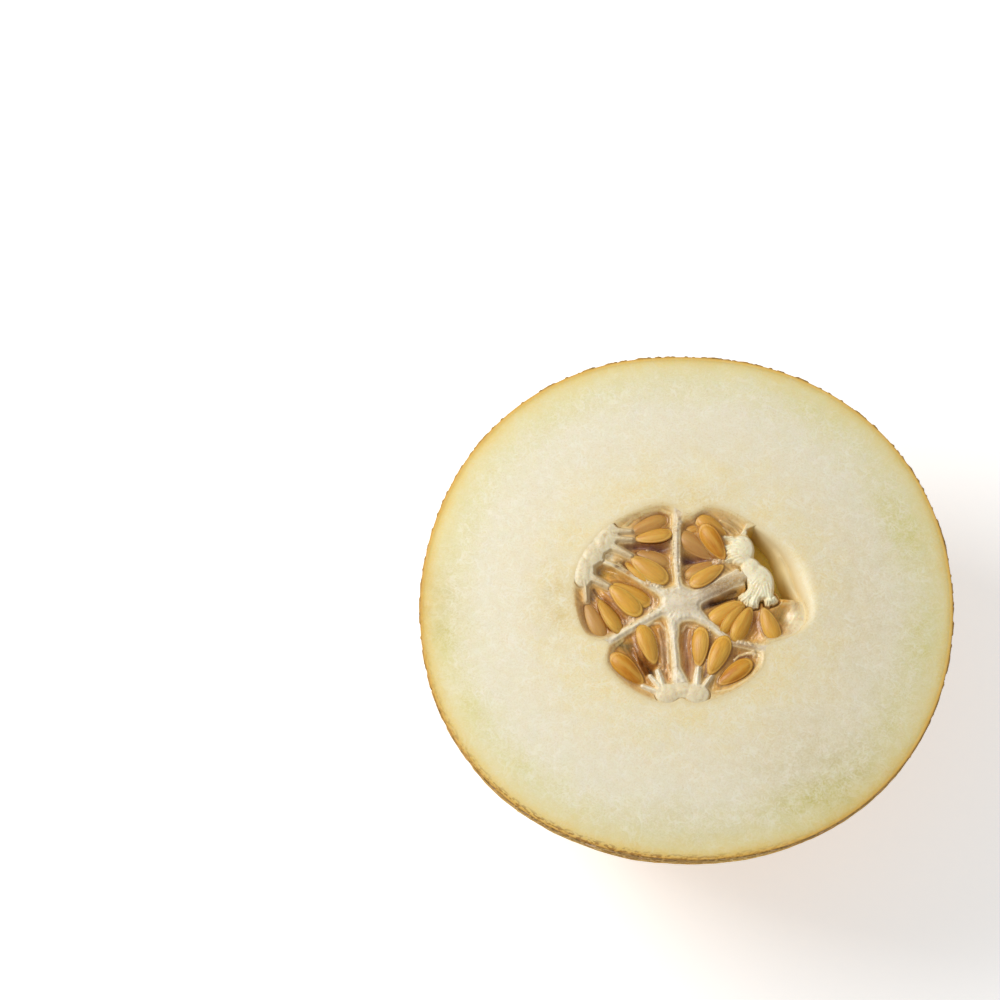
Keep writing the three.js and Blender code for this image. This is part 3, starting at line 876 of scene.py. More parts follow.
seeds = {
    "width": 0.445,  # this and the thickness for a length of one
    "thickness": 0.22,
    "taper": 0.24,
    "swell": 1.04,  # they are plumper by this than their beds in the pulp
    "tilt": 4.0,  # degrees at most, at random
    "sides": 44,
    "ringsAbove": 15,
    "lengthColours": [  # from the broad end to the point
        (0.0, (236, 180, 60)), (0.2, (228, 162, 34)), (0.6, (208, 136, 14)), (0.85, (200, 130, 16)),
        (1.0, (226, 174, 78)),
    ],
    "streakColour": (168, 98, 6),
    "blotchColour": (242, 196, 84),
    "palerColour": (241, 192, 84),
    "darkerColour": (184, 112, 8),
    "margins": [  # at, reach, strength, colour: a groove, the pale margin and the dark outline, which is a painted contact shadow
        (0.78, 0.07, 0.14, (156, 92, 8)), (0.88, 0.08, 0.2, (246, 206, 120)), (1.0, 0.09, 0.5, (124, 70, 12)),
    ],
    "underGelColour": (186, 141, 86),
    "kinds": {  # x, y, length, way of the point, depth below the cut, roll, share under gel, paler or darker
        "upper_right": [
            (7.1, 21.0, 10.5, -37, 1.7, 0, 0.25, 0.1), (7.6, 16.3, 11.2, -58, 0.5, 18, 0.0, -0.9),
            (2.9, 15.6, 11.4, -36, 2.0, 0, 0.75, -0.4), (3.0, 20.6, 7.0, 18, 2.5, 0, 0.4, 0.0),
            (4.3, 8.5, 10.2, 24, 2.2, 0, 0.6, -0.2), (5.9, 7.0, 10.6, 34, 1.0, -16, 0.2, 0.5),
        ],
        "upper_left": [
            (-9.6, 21.2, 10.8, 205, 1.7, 0, 0.65, 0.0), (-8.6, 18.0, 10.3, 189, 1.2, 22, 0.25, 0.3),
            (-8.8, 11.8, 10.0, 159, 2.3, 0, 0.75, -0.2), (-9.6, 8.4, 11.8, 145, 0.9, 0, 0.2, 0.9),
            (-12.2, 7.6, 9.4, 142, 1.8, 30, 0.05, 0.2),
        ],
        "left": [
            (-14.5, 1.6, 11.8, 153, 1.7, 16, 0.1, 0.2), (-16.0, -0.4, 11.2, 137, 0.6, 0, 0.0, 0.8),
            (-20.1, -4.8, 11.0, 123, 1.0, 34, 0.1, 0.9), (-24.2, -6.2, 11.8, 116, 1.7, 0, 0.75, 0.5),
        ],
        "bottom_left": [
            (-9.9, -12.4, 11.2, -71, 0.8, -14, 0.05, 0.6), (-15.4, -19.4, 11.6, -43, 0.9, 10, 0.0, -0.8),
        ],
        "bottom_right": [
            (3.9, -12.9, 10.8, -94, 1.0, 18, 0.15, 0.4), (8.8, -15.2, 11.3, -114, 0.7, 0, 0.0, 0.4),
            (13.2, -19.8, 10.8, -145, 1.1, 10, 0.0, -0.8),
        ],
        "right": [
            (10.7, -3.4, 11.2, 33, 1.6, 0, 0.1, 0.6), (12.9, -5.2, 10.0, 54, 1.2, 34, 0.0, 0.9),
            (15.3, -6.6, 10.4, 64, 0.7, 16, 0.05, 0.2), (22.6, -6.8, 10.1, 111, 0.9, -8, 0.1, 0.6),
        ],
    },
}


def allSeeds():
    return [seed for kind in seeds["kinds"].values() for seed in kind]


def seedOutline(share):  # half width of a seed at a share of its half length, from -1 at the broad end
    share = np.clip(share, -1, 1)
    return np.sqrt(1 - share**2) * (1 - seeds["taper"] * share) * seeds["width"] / 2


def seedDistance(x, y, seed):
    atX, atY, length, turn = seed[:4]
    along, across = localAxes(x, y, atX, atY, turn)
    halfWidth = length * seeds["width"] / 2
    narrowing = (1 - seeds["taper"] * np.clip(along / (length / 2), -1, 1)) * halfWidth
    return ovalDistance(along, across, length / 2, narrowing, -halfWidth)


pulp = {
    "sink": 1.6,
    "ripple": {"height": 0.3, "wave": 7.5, "slantX": 0.4, "slantY": 0.3},
    "surfaceWaves": [(1.6, 0.1, 71), (0.7, 0.025, 72)],  # cell, height, seed
    "glowColour": (206, 132, 36),  # round the seeds
    "contactShadowColour": (130, 74, 18),  # painted contact shadow where they lie in it
    "milkyColour": (235, 212, 158),  # towards the web, the pads and the flesh
    "openShoreColour": (252, 240, 208),  # beside the open pocket
    "shoreColour": (236, 215, 165),
    "bubbleColour": (250, 232, 196),
    "pocketColour": (250, 214, 66),
    "pits": [  # x, y, half length, half width, turn, depth
        (-10.0, 15.0, 6.5, 1.8, -4, 2.6), (3.6, 11.8, 5.0, 1.7, -4, 3.3), (10.0, 0.6, 6.0, 1.7, 20, 2.2),
        (-9.2, -18.6, 3.4, 1.6, -62, 3.5), (1.0, -15.0, 6.5, 1.6, -86, 1.6), (27.0, -3.6, 2.8, 2.6, 80, 1.8),
        (-22.2, 8.2, 3.0, 2.2, 30, 1.2),
    ],
    "chambers": {  # way that the fibres run, and the gel's colour
        "upper_right": (-38, (224, 180, 100)),
        "upper_left": (-22, (220, 176, 100)),
        "left": (135, (222, 166, 74)),
        "bottom_left": (-58, (212, 154, 62)),
        "bottom_right": (-104, (218, 170, 86)),
        "right": (58, (222, 168, 74)),
    },
    "froth": [  # x, y, half length, half width, turn, bubbles
        (-7.4, 4.1, 3.2, 0.9, -28, 26), (-9.2, -1.9, 1.5, 1.7, 20, 16), (-15.2, -5.9, 2.3, 0.9, 35, 16),
        (-1.9, 21.2, 1.3, 1.5, 0, 16), (-3.4, 13.6, 0.5, 4.0, 0, 12), (-1.2, 10.0, 0.5, 3.0, 0, 8),
        (9.4, 10.9, 2.2, 0.8, 10, 12), (16.2, -11.6, 2.8, 0.7, 0, 10), (6.6, -9.0, 0.8, 1.8, 30, 8),
        (18.0, -14.8, 1.2, 0.8, 0, 6), (-9.5, 13.8, 2.5, 0.5, 0, 5), (-6.8, -19.0, 0.5, 2.0, 0, 5),
        (17.9, -10.0, 0.3, 0.3, 0, 2),
    ],
    "threads": [  # points like an arm's, lift, strength, colour; the dark ones with a negative lift are sunk folds painted darker, a painted shade
        ([(15.2, 17.6, 1.2), (16.7, 20.4, 0.9), (17.6, 21.8, 1.2)], 0.9, 0.9, (250, 238, 208)),
        ([(23.6, 0.2, 1.0), (26.2, -0.5, 0.5), (28.6, -0.3, 0.3)], 0.15, 0.5, (240, 218, 160)),
        ([(-11.4, -8.2, 0.4), (-9.0, -6.6, 0.4), (-6.6, -6.4, 0.4), (-4.9, -8.6, 0.4), (-4.5, -15, 0.35),
          (-4.2, -21.4, 0.35)], 0.35, 0.7, (236, 208, 160)),
        ([(-7.0, -8.0, 0.3), (-6.2, -12.0, 0.3), (-5.6, -20.0, 0.3)], 0.2, 0.5, (206, 168, 122)),
        ([(-0.7, -8.6, 0.4), (0.6, -6.9, 0.4), (3.0, -7.6, 0.4)], 0.3, 0.5, (212, 184, 140)),
        ([(1.9, -8.4, 0.3), (2.0, -15.0, 0.3), (1.6, -21.4, 0.3)], 0.25, 0.5, (204, 170, 132)),
        ([(0.2, -9.0, 0.25), (0.4, -15.0, 0.25), (0.5, -21.8, 0.25)], 0.2, 0.45, (176, 134, 104)),
        ([(13.2, -16.2, 0.3), (14.4, -15.0, 0.35), (16.4, -14.4, 0.4), (18.6, -14.5, 0.4), (20.0, -15.6, 0.4),
          (19.7, -17.6, 0.4), (17.5, -21.0, 0.35), (12.2, -24.4, 0.3), (8.4, -25.0, 0.3)],
         0.25, 0.7, (246, 222, 168)),
        ([(-17.8, 10.2, 0.35), (-15.0, 7.4, 0.35), (-11.4, 4.9, 0.35), (-7.6, 3.3, 0.3)],
         0.35, 0.6, (232, 204, 150)),
        ([(-17.0, 9.2, 0.3), (-13.4, 6.2, 0.3), (-9.8, 4.4, 0.3)], -0.5, 0.7, (110, 70, 24)),
        ([(7.0, -0.5, 0.5), (11.0, 0.7, 0.45), (15.6, 1.7, 0.4)], -0.4, 0.8, (110, 68, 30)),
        ([(9.6, 1.9, 0.4), (13.6, 3.0, 0.4)], -0.3, 0.7, (134, 94, 40)),
        ([(-4.7, -22.6, 0.3), (-5.3, -20.6, 0.3), (-4.5, -18.2, 0.3), (-3.9, -20.6, 0.3), (-4.5, -22.8, 0.3)],
         0.25, 0.7, (232, 178, 118)),
        ([(-18.2, 18.9, 0.5), (-14.2, 22.6, 0.5), (-10.4, 24.8, 0.5), (-6.8, 25.4, 0.5), (-4.2, 24.4, 0.5)],
         0.35, 0.6, (240, 214, 150)),
        ([(9.8, 22.6, 0.3), (13.4, 20.6, 0.3), (15.2, 18.4, 0.3)], 0.3, 0.5, (226, 200, 146)),
        ([(10.4, 20.6, 0.25), (13.0, 18.8, 0.25)], 0.25, 0.5, (226, 200, 146)),
        ([(11.8, 23.4, 0.25), (14.6, 21.6, 0.25), (16.2, 19.6, 0.25)], 0.25, 0.5, (232, 208, 156)),
        ([(-24.4, 2.6, 0.5), (-22.4, -0.2, 0.4), (-21.0, -2.2, 0.3)], -0.4, 0.6, (120, 80, 50)),
        ([(-16.4, -11.2, 0.4), (-18.8, -13.4, 0.4), (-19.6, -15.4, 0.4)], 0.3, 0.6, (222, 196, 130)),
        ([(-12.6, -12.0, 0.3), (-10.8, -17.0, 0.3), (-8.8, -21.6, 0.3)], 0.3, 0.5, (206, 142, 66)),
        ([(-13.6, -13.4, 0.3), (-12.0, -18.4, 0.3), (-9.6, -23.0, 0.3)], 0.3, 0.5, (200, 134, 58)),
    ],
    "clearShores": [  # x, y, half length, half width, turn, strength: gel that stays clear up to the flesh
        (-28.0, -5.0, 8.0, 3.2, 95, 0.75), (14.6, -22.4, 6.0, 2.6, 35, 0.6),
        (-18.6, -13.6, 3.6, 2.4, 55, 0.6), (10.6, 21.4, 5.0, 2.6, -40, 0.5),
        (-12.0, -24.4, 6.0, 2.4, -28, 0.5),
    ],
    "stains": [  # x, y, half length, half width, turn, strength, colour
        (-28.2, -5.0, 6.5, 1.8, 95, 0.7, (170, 132, 78)),
        (10.8, 19.6, 3.0, 1.6, -50, 0.7, (184, 144, 88)),
        (-21.0, 12.0, 2.6, 2.0, 20, 0.95, (252, 232, 190)),
        (13.6, -15.2, 3.0, 1.3, -12, 0.85, (156, 100, 38)),
        (10.4, 4.8, 7.0, 2.6, 24, 0.7, (226, 204, 152)),
        (14.2, 5.6, 4.0, 1.2, 24, 0.6, (236, 214, 164)),
        (-9.9, 14.9, 6.6, 1.4, -3, 0.95, (144, 101, 95)),
        (3.2, 11.5, 4.8, 1.5, 2, 0.95, (136, 98, 94)),
        (5.6, -1.1, 3.2, 1.5, 25, 0.9, (148, 120, 104)),
        # this one and the next: the fold under the web's right arm, partly the gel's brown and partly painted
        # shade
        (10.6, 0.5, 4.6, 0.6, 14, 0.85, (120, 76, 36)),
        (12.5, 2.0, 3.4, 0.9, 16, 0.7, (170, 134, 62)),
        (1.0, -14.8, 1.7, 8.2, 2, 0.85, (200, 150, 114)),
        (-5.5, -14.6, 1.2, 7.6, 4, 0.8, (182, 142, 102)),
        (-10.8, -17.5, 1.7, 4.8, 32, 0.85, (154, 92, 30)),
        (-9.0, -19.6, 0.9, 1.7, 40, 0.95, (70, 34, 12)),
        (-16.3, -12.9, 2.6, 1.4, -20, 0.8, (126, 106, 48)),
        (-17.3, 10.2, 1.5, 1.2, 0, 0.9, (100, 72, 22)),
        (-21.4, 7.4, 3.4, 1.6, -10, 0.85, (176, 138, 54)),
        (-24.0, 7.8, 1.4, 1.2, 0, 0.7, (168, 142, 112)),
        (-25.0, 0.8, 1.3, 2.4, 0, 0.8, (136, 104, 76)),
        (-20.9, -0.4, 2.2, 1.4, -48, 0.9, (168, 104, 34)),
        (-17.2, -4.8, 1.2, 3.6, 30, 0.8, (164, 100, 36)),
        (-9.4, -2.0, 2.2, 2.0, 0, 0.7, (206, 168, 132)),
        (-15.2, -6.0, 2.4, 1.2, 28, 0.7, (206, 166, 130)),
        (-7.4, 4.2, 3.0, 1.2, -28, 0.5, (196, 168, 118)),
        (26.0, -3.6, 2.4, 2.2, 80, 0.7, (192, 162, 90)),
        (29.8, -4.0, 2.8, 5.4, -10, 0.95, (250, 234, 194)),
        (14.8, -12.7, 5.2, 1.4, -6, 0.75, (174, 122, 56)),
        (-13.2, -14.2, 2.8, 1.5, 70, 0.75, (140, 88, 30)),
        (15.4, -15.8, 3.0, 0.9, 16, 0.9, (124, 74, 30)),
        (5.9, -18.7, 0.6, 3.4, -16, 0.85, (112, 74, 62)),
        (11.6, 21.8, 4.0, 2.2, -30, 0.7, (196, 162, 104)),
        (18.6, -5.6, 1.6, 3.8, 10, 0.8, (176, 116, 62)),
        (-7.7, 23.3, 6.6, 1.6, -2, 0.6, (216, 172, 96)),
    ],
}


def layFibres(grid):  # the gel of every chamber: its strands and its colour
    x, y = grid["x"], grid["y"]
    colour, grain, total = np.zeros((*x.shape, 3)), np.zeros(x.shape), np.full(x.shape, 1e-9)
    for i, (name, (turn, stain)) in enumerate(pulp["chambers"].items()):
        share = np.exp(-np.clip(grid["chambers"][name], 0, None) / 0.4)
        strands = 0.6 * fibres(x, y, turn, 5.0, 0.55, 40 + i) + 0.4 * fibres(x, y, turn, 2.6, 0.3, 60 + i)
        grain += share * strands
        colour += share[..., None] * pointColour(stain)
        total += share
    return grain / total, colour / total[..., None]


def bubbles(grid):  # height and rim of small bubbles in the frothy places
    x, y = grid["x"], grid["y"]
    draw = np.random.default_rng(5)
    height, rim = np.zeros(x.shape), np.zeros(x.shape)
    for atX, atY, halfLength, halfWidth, turn, count in pulp["froth"]:
        way = math.radians(turn)
        for _ in range(count):
            along, across = draw.normal(0, 0.55, 2) * (halfLength, halfWidth)
            size = draw.uniform(0.26, 0.62)
            middleX = atX + along * math.cos(way) - across * math.sin(way)
            middleY = atY + along * math.sin(way) + across * math.cos(way)
            share = np.hypot(x - middleX, y - middleY) / size
            height = np.maximum(height, 0.75 * size * np.sqrt(np.clip(1 - share**2, 0, None)))
            rim = np.maximum(rim, np.exp(-(((share - 0.85) / 0.22) ** 2)))
    return height, rim


def beddedSeeds(x, y, height, colour):  # the pulp closes round each seed, in rings
    away = np.full(x.shape, farAway)
    for seed in sorted(allSeeds(), key=lambda one: -one[4]):  # the deepest first
        depth, under = seed[4], seed[6]
        outside = seedDistance(x, y, seed)
        nearby = np.exp(-((np.clip(outside, 0, None) / 0.75) ** 2))
        height += nearby * 0.8 * (-depth - 0.15 + 0.75 * under - height)
        height -= 0.8 * smooth(-outside / (0.8 + 0.5 * under))
        away = np.minimum(away, outside)
    around = np.clip(away, 0, None)
    rings = np.cos(2 * math.pi * away / 0.8) * np.exp(-around / 0.8) * (away > 0)
    height += 0.07 * rings
    tintTowards(colour, 0.4 * np.exp(-around / 0.7), pulp["glowColour"])
    colour *= (1 + 0.12 * rings)[..., None]
    # painted contact shadow: the gel darkens right round each seed
    tintTowards(colour, 0.5 * np.exp(-((around / 0.45) ** 2)), pulp["contactShadowColour"])


def drawThreads(grid, height, colour):  # fine raised membranes, and dark folds whose darkness is painted shade
    for points, lift, strength, stain in pulp["threads"]:
        share = smooth(1 - bandDistance(grid["x"], grid["y"], points) / 0.3)
        height += lift * share
        tintTowards(colour, strength * share, stain)


def riseToShores(grid, grain, height, colour):  # the pulp climbs to the web, the flesh and the pads
    x, y, inCavity = grid["x"], grid["y"], grid["flesh"]
    clear = np.zeros(x.shape)
    for *oval, strength in pulp["clearShores"]:
        clear = np.maximum(clear, strength * spot(x, y, *oval))
    uneven = 1 + 0.35 * valueNoise(x, y, 2.2, 75) + 0.25 * grain
    rounding = edgeRounding(np.arctan2(y, x))
    outward = np.clip(-inCavity, 0, rounding)
    wide = smooth((rounding - 0.8) / 1.2)  # beside the open pocket it follows the flesh's round edge
    shore = -0.75 * smooth((inCavity + 0.5) / 3.0) + 0.012 - 0.045 * smooth((-inCavity - 0.5) / 0.3)
    shore += wide * (0.012 - rounding + np.sqrt(rounding**2 - (rounding - outward) ** 2) - shore)
    milky = pointColour(pulp["milkyColour"])
    milky = milky + wide[..., None] * (pointColour(pulp["openShoreColour"]) - milky)
    for edge, reach, strength, level in (
        (grid["web"], 0.6, 0.8, -0.7), (inCavity, 2.1 + 0.2 * wide, 1.0 - clear, shore),
        (grid["pad"], 0.5, 0.5, shore - 0.25 * smooth(inCavity / 2)),
    ):
        distance = np.clip(edge, 0, None)
        lines = 1 + 0.15 * np.cos(2 * math.pi * distance / 0.8)
        share = np.clip(strength * np.exp(-((distance / (0.55 * reach + 0.2) / uneven) ** 1.5)) * lines, 0, 1)
        height += np.exp(-((distance / reach) ** 2)) * (level - height)
        colour += share[..., None] * (milky - colour)
    tintTowards(colour, smooth(-inCavity / 0.3), pulp["shoreColour"])


def shapePulp(grid):  # height of the pulp's surface against the cut, and its colour
    x, y = grid["x"], grid["y"]
    ripple = pulp["ripple"]
    turns = 2 * math.pi / ripple["wave"]
    swell = np.sin((x + ripple["slantX"] * y) * turns) * np.cos((y - ripple["slantY"] * x) * turns)
    grain, colour = layFibres(grid)
    height = -pulp["sink"] + ripple["height"] * swell + 0.12 * grain + waves(x, y, pulp["surfaceWaves"])
    colour *= (1 + 0.3 * grain + 0.16 * valueNoise(x, y, 2.6, 73))[..., None]
    for *oval, depth in pulp["pits"]:
        height -= depth * spot(x, y, *oval)
    for *oval, strength, stain in pulp["stains"]:
        share = strength * spot(x, y, *oval) * (1 + 0.35 * valueNoise(x, y, 0.9, 74))
        share = np.clip(share, 0, 1)[..., None]
        colour += share * (pointColour(stain) * (1 + 0.25 * grain[..., None]) - colour)
    beddedSeeds(x, y, height, colour)
    drawThreads(grid, height, colour)
    riseToShores(grid, grain, height, colour)
    lift, rim = bubbles(grid)
    height += lift
    tintTowards(colour, 0.5 * rim, pulp["bubbleColour"])
    slope = 0.9 + 2.0 * smooth((4.5 - y) / 3)  # gentler at the pocket's lower end
    deep = smooth((0.4 - grid["pocket"]) / slope)
    height += deep * (-cavity["pocketDepth"] - height)
    tintTowards(colour, deep, pulp["pocketColour"])
    return height, np.clip(colour, 0, 1)


web = {
    "colour": (239, 227, 201),
    "greyColour": (214, 198, 168),
    "bubbleColour": (250, 240, 216),
    "dips": [(-16.0, 7.7, 6.6, 1.8, 29, 1.1), (13.0, 2.6, 5.0, 1.2, 24, 0.5)],  # where its arms sink
    "stains": [  # x, y, half length, half width, turn, strength, colour
        (12.4, 4.8, 5.8, 2.6, 27, 0.85, (202, 170, 112)),
        (8.8, 1.9, 4.4, 1.3, 22, 0.8, (168, 130, 90)),
        (8.0, 4.2, 4.6, 1.2, 25, 0.75, (160, 126, 80)),
        (-17.6, 9.5, 1.6, 1.2, 29, 0.85, (120, 84, 38)),
        (-15.4, 7.4, 7.0, 1.6, 29, 1.0, (192, 144, 76)),
        (-9.8, 4.2, 2.6, 1.3, 28, 0.75, (200, 162, 106)),
        (3.2, -2.2, 2.8, 1.8, -35, 0.5, (192, 172, 142)),
        (-2.0, 11.5, 5.0, 0.9, 90, 0.4, (196, 170, 138)),
        (-2.0, 22.2, 3.4, 1.4, 88, 0.6, (208, 178, 132)),
        (14.6, -12.4, 5.4, 1.1, -8, 0.8, (186, 142, 82)),
        (-15.6, -8.8, 4.2, 1.0, 32, 0.25, (226, 202, 150)),
    ],
}


def shapeWeb(grid, around):  # its flanks take up the height and the colour of the pulp around it
    x, y = grid["x"], grid["y"]
    inward = -grid["web"]
    centreX, centreY, _ = cavity["starCentre"]
    turned = np.arctan2(y - centreY, x - centreX)
    outward = np.hypot(x - centreX, y - centreY)
    strands = valueNoise(turned * 9, outward / 3.5, 1.0, 85)
    strands = (strands + 0.6 * valueNoise(turned * 22, outward / 2.0, 1.0, 86)) * smooth((outward - 1.2) / 4)
    froth = valueNoise(x, y, 0.7, 81) * smooth((outward - 1.0) / 5)
    rise = smooth((inward + 0.1 * froth) / 1.15)
    height, colour = around[0] + rise * (-0.04 - around[0]), around[1].copy()
    height += rise * (0.07 * froth + 0.1 * valueNoise(x, y, 2.2, 82) + 0.08 * strands - 0.06)
    for *oval, depth in web["dips"]:
        height -= rise * depth * spot(x, y, *oval)
    tintTowards(colour, smooth((inward + 0.14 * froth + 0.2 * strands + 0.12) / 0.85), web["colour"])
    colour *= (1 + 0.05 * froth + 0.07 * strands)[..., None]
    patchy = 0.5 * smooth((valueNoise(x, y, 2.1, 84) - 0.1) / 0.5) * smooth(inward / 0.6)
    tintTowards(colour, patchy, web["greyColour"])
    for *oval, strength, stain in web["stains"]:
        lines = 1 + 0.3 * fibres(x, y, oval[-1], 6.0, 0.34, 87)
        faint = np.clip(strength * spot(x, y, *oval) * lines, 0, 1)[..., None]
        colour += faint * (pointColour(stain) * lines[..., None] - colour)
    lift, rim = bubbles(grid)
    height += 0.6 * lift * rise
    tintTowards(colour, 0.4 * rim, web["bubbleColour"])
    return height, np.clip(colour, 0, 1)


def shapePad(grid, name):
    x, y = grid["x"], grid["y"]
    pad = placentas[name]
    inward = -grid["pads"][name]
    meeting = smooth((0.7 - grid["web"]) / 1.2)  # no dip where an arm of the web runs into it
    height = 0.45 * smooth(inward / 2.8) - (1 - 0.9 * meeting) * (1 - smooth(inward / 0.8)) ** 1.6
    creases = np.abs(valueNoise(x, y, 1.9, 91)) ** 0.6
    height += 0.12 * creases - 0.1 + 0.03 * valueNoise(x, y, 0.7, 92)
    ridges, thinner = np.zeros(x.shape), np.zeros(x.shape)
    for (startX, startY, startWidth), (endX, endY, endWidth) in pad["stalks"]:
        turn = math.degrees(math.atan2(endY - startY, endX - startX))
        along, across = localAxes(x, y, startX, startY, turn)
        near = smooth(1 - bandDistance(x, y, [(startX, startY, startWidth), (endX, endY, endWidth)]) / 0.7)
        folds = np.cos(2 * math.pi * across / 0.85 + 1.2 * valueNoise(x, y, 1.6, 93))
        folds *= smooth((along + pad["fan"]) / 2)
        ridges += near * (folds - ridges)
        thinner = np.maximum(thinner, near * smooth((along + 0.5) / 3))
    height += 0.055 * ridges
    height += smooth((0.3 - grid["flesh"]) / 1.1) * (-0.03 - height)
    # painted shadow: the outline keeps the darker edge colour, and the pad's stain colour fills it from 0.8
    # mm in
    colour = np.zeros((*x.shape, 3)) + pointColour(pad["edge"])
    tintTowards(colour, smooth(np.maximum(inward / 0.8, meeting)), pad["stain"])
    tintTowards(colour, 0.8 * thinner, pad["stalk"])
    colour *= (0.95 + 0.07 * creases + 0.05 * ridges)[..., None]
    return height, np.clip(colour, 0, 1)


def connectedCells(cells, outside):  # those joined to the one deepest inside
    middle = np.where(cells, outside[:-1, :-1], farAway)
    reached = np.zeros_like(cells)
    reached[np.unravel_index(middle.argmin(), middle.shape)] = True
    while True:
        grown = reached.copy()
        grown[1:] |= reached[:-1]
        grown[:-1] |= reached[1:]
        grown[:, 1:] |= reached[:, :-1]
        grown[:, :-1] |= reached[:, 1:]
        grown &= cells
        if (grown == reached).all():
            return reached
        reached = grown


def pickCells(outside, step):  # the grid's squares that a piece covers
    corner = outside < 0.45 * step
    cells = corner[:-1, :-1] & corner[1:, :-1] & corner[:-1, 1:] & corner[1:, 1:]
    cells = connectedCells(cells, outside)
    for _ in range(12):  # no two cells touch only at a corner
        a, b, c, d = cells[:-1, :-1], cells[1:, :-1], cells[:-1, 1:], cells[1:, 1:]
        first, second = a & d & ~b & ~c, b & c & ~a & ~d
        if not (first.any() or second.any()):
            break
        cells[:-1, :-1][first] = False
        cells[1:, :-1][second] = False
    return connectedCells(cells, outside)


def reliefPiece(name, grid, outside, relief, material):
    # a block with a modelled top, walls down to the bowl, and the bowl's form below
    height, colour = relief
    step, top = cavity["step"], melon["cutHeight"]
    cells = pickCells(outside, step)
    padded = np.pad(cells, 1)
    around = [padded[:-1, :-1], padded[1:, :-1], padded[:-1, 1:], padded[1:, 1:]]
    used = np.logical_or.reduce(around)
    edge = used & ~np.logical_and.reduce(around)
    slopeX, slopeY = np.gradient(outside, step)
    steep = np.maximum(slopeX**2 + slopeY**2, 0.25)
    pull = np.where(edge, np.clip(outside, -0.7 * step, 0.7 * step), 0)
    flatX = (grid["x"] - pull * slopeX / steep)[used]  # the edge is pulled onto the outline
    flatY = (grid["y"] - pull * slopeY / steep)[used]
    count = len(flatX)
    index = np.full(used.shape, -1)
    index[used] = np.arange(count)
    topZ = height[used]
    lowZ = -np.maximum(bowlDepth(flatX, flatY), cavity["shallowest"])
    lowZ = np.minimum(lowZ, topZ - 0.5)
    i, j = np.nonzero(cells)
    quads = np.stack([index[i, j], index[i + 1, j], index[i + 1, j + 1], index[i, j + 1]], 1)
    links = np.concatenate([quads[:, [k, (k + 1) % 4]] for k in range(4)])
    forward = links[:, 0].astype(np.int64) * count + links[:, 1]
    backward = links[:, 1].astype(np.int64) * count + links[:, 0]
    rim = links[~np.isin(forward, backward)]
    rimPoints = np.unique(rim)
    place = np.full(count, -1)
    place[rimPoints] = np.arange(len(rimPoints))
    points = [np.stack([flatX, flatY, top + topZ], 1)]
    rows = [np.arange(count)]
    sources = [np.arange(count)]
    start = count
    for share in cavity["skirtShares"]:
        z = topZ[rimPoints] + share * (lowZ - topZ)[rimPoints]
        points.append(np.stack([flatX[rimPoints], flatY[rimPoints], top + z], 1))
        rows.append(start + place)
        sources.append(rimPoints)
        start += len(rimPoints)
    points.append(np.stack([flatX, flatY, top + lowZ], 1))
    rows.append(start + np.arange(count))
    sources.append(np.arange(count))
    walls = []
    for upper, lower in zip(rows, rows[1:]):
        walls.append(np.stack([upper[rim[:, 1]], upper[rim[:, 0]], lower[rim[:, 0]], lower[rim[:, 1]]], 1))
    faces = np.concatenate([quads, *walls, quads[:, ::-1] + start]).tolist()
    points, sources = np.concatenate(points), np.concatenate(sources)
    return meshObject(name, points, faces, material, {
        "tint": colour[used][sources],
        "underCut": top - points[:, 2],
        "underEdge": (top + topZ)[sources] - points[:, 2],
        "inset": np.clip(-outside[used][sources], 0, None),
    })


softFinish = {
    "frothColour": (246, 234, 206),
    "shadeColour": (220, 184, 110),
    "wallColours": [  # from the cut down
        (0.0, (250, 230, 160)), (0.4, (248, 216, 92)), (1.0, (246, 208, 58)),
    ],
    "kinds": {  # name, how wet, froth
        "web": ("starTissue", 0.5, 0.35),
        "pad": ("padTissue", 0.4, 0.2),
        "gel": ("wetPulp", 1.0, 0.12),
    },
}


def softMaterial(name, wet, froth):
    material, tree = newMaterial(name)
    where = objectPlace(tree)
    fine, dark = noise(tree, where, 0.5, 3.0, 0.8), noise(tree, where, 1.3, 2.0, 1.2)
    rows = [(fine, 0.45, 0.72, 0.0, froth, "frothColour")]
    tint = overlaid(tree, attribute(tree, "tint", "Color"), softFinish, rows)
    shade = spread(tree, dark, 0.5, 0.72, 0.0, 0.35)
    tint = blendColour(tree, shade, tint, softFinish["shadeColour"], "MULTIPLY")
    wall = ramp(tree, spread(tree, attribute(tree, "underCut"), 2.0, 26.0), softFinish["wallColours"])
    tint = blendColour(tree, spread(tree, attribute(tree, "underEdge"), 0.2, 2.5), tint, wall)
    finishMaterial(tree, {
        "Base Color": tint,
        "Roughness": spread(tree, fine, 0.35, 0.65, 0.44 - 0.16 * wet, 0.56 - 0.16 * wet),
        "Normal": bump(tree, mixedHeight(tree, fine, 0.6, dark, 0.4), 0.35, 0.2),
        "Subsurface Weight": spread(tree, attribute(tree, "inset"), 0.1, 1.6, 0.0, 0.45),
        "Subsurface Radius": (1.0, 0.75, 0.35),
        "Subsurface Scale": 1.8 * mm,
        "Specular IOR Level": 0.45,
        "Coat Weight": 0.2 * wet,
        "Coat Roughness": 0.15,
    })
    return material


